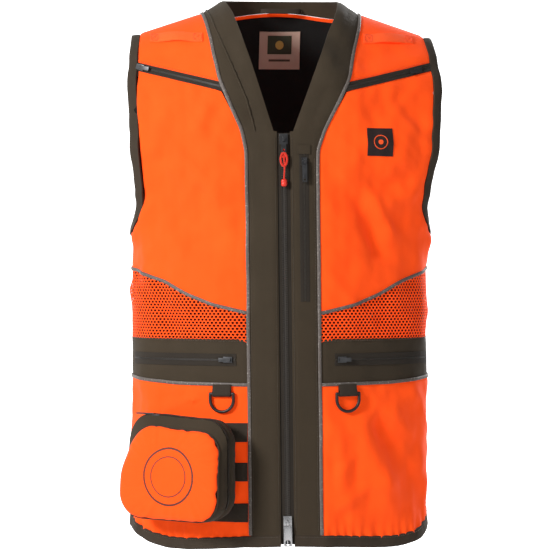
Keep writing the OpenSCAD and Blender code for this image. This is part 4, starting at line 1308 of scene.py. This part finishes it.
make_pouch()

# Placket pocket zip and the chest patch
coil_zip("placket_pocket", [(PLACKET_ZIP_S, z) for z in np.linspace(*PLACKET_ZIP, 12)], 1, "left_front", 12.5,
         ["placket_zip"], depth=0.9)
plate("placket_zip_garage", PLACKET_ZIP_S - 8.5, PLACKET_ZIP_S + 8.5, -190, -202, 1, OLIVE, "left_front",
      0.3, 2.2)
plate("left_chest_patch", 112, 147, -166, -203, 1, PATCH, "left_front", -0.2, 1.3, ["chest_patch"])
PATCH_MID, CIRCLE_W = (129.5, -184.5), 1.1
circle = disc_outline(*PATCH_MID, 9.5 - CIRCLE_W / 2, 36)
section = [(-CIRCLE_W / 2, 1.2), (-CIRCLE_W / 2, 1.6), (CIRCLE_W / 2, 1.6), (CIRCLE_W / 2, 1.2)]
mark = loft("patch_circle", rings_of(circle + circle[:1], section, 1, 1.5), ORANGE_THREAD)
settle(mark, "left_front")
dot = panel("patch_dot", disc_outline(*PATCH_MID, 3.2, 20), 1, ORANGE_THREAD, low=1.2, high=1.7, step=2, dip=0)
settle(dot, "left_front")

# Metal parts
for node in ("top_slider", "top_puller", "placket_slider", "placket_puller", "right_chest_slider", "left_chest_slider",
             "right_waist_slider", "left_waist_slider", "pouch_slider"):
    refined(node, GUNMETAL)
for node in ("bottom_slider", "bottom_puller"):
    refined(node, SILVER)
for node in ("right_ring", "left_ring"):
    dress(node, PLASTIC)

# Topstitching
for side in (-1, 1):
    name, w = SIDES[side], PLACKET[side]
    body, recess = name + "_front", RECESS + 2.6
    band_seam = [(a, z - 2.6) for a, z in between(BAND_TOP, w + 4, QUARTER - 2)]
    hem_seam = [(a, z + HEM_W - 2.4) for a, z in between(HEM, RECESS + 2, QUARTER - 2)]
    yoke_seam = [(a, zip_z(a) + 8.2) for a in (88, 150, 205)]
    stitches(name + "_placket_stitch", [(w - 4, -205), (w - 4, HEM_Z + 18)], side, THREAD, body)
    stitches(name + "_recess_stitch", [(recess, VEE_Z - 6), (recess, HEM_Z + 18)], side, THREAD, body)
    stitches(name + "_band_stitch", band_seam, side, THREAD, body)
    stitches(name + "_hem_stitch", hem_seam, side, THREAD, body, depth=1.2)
    stitches(name + "_yoke_stitch", yoke_seam, side, ORANGE_THREAD, "blend", depth=0.15)
hem_seam = mirrored([(a, z + HEM_W - 2.4) for a, z in between(HEM, 0, QUARTER - 2)])
band_seam = mirrored([(a, z - 2.6) for a, z in between(BAND_TOP, 0, QUARTER - 2)])
stitches("back_hem_stitch", hem_seam, 0, THREAD, "shell", depth=1.2)
stitches("back_band_stitch", band_seam, 0, THREAD, "shell")

make_stage()
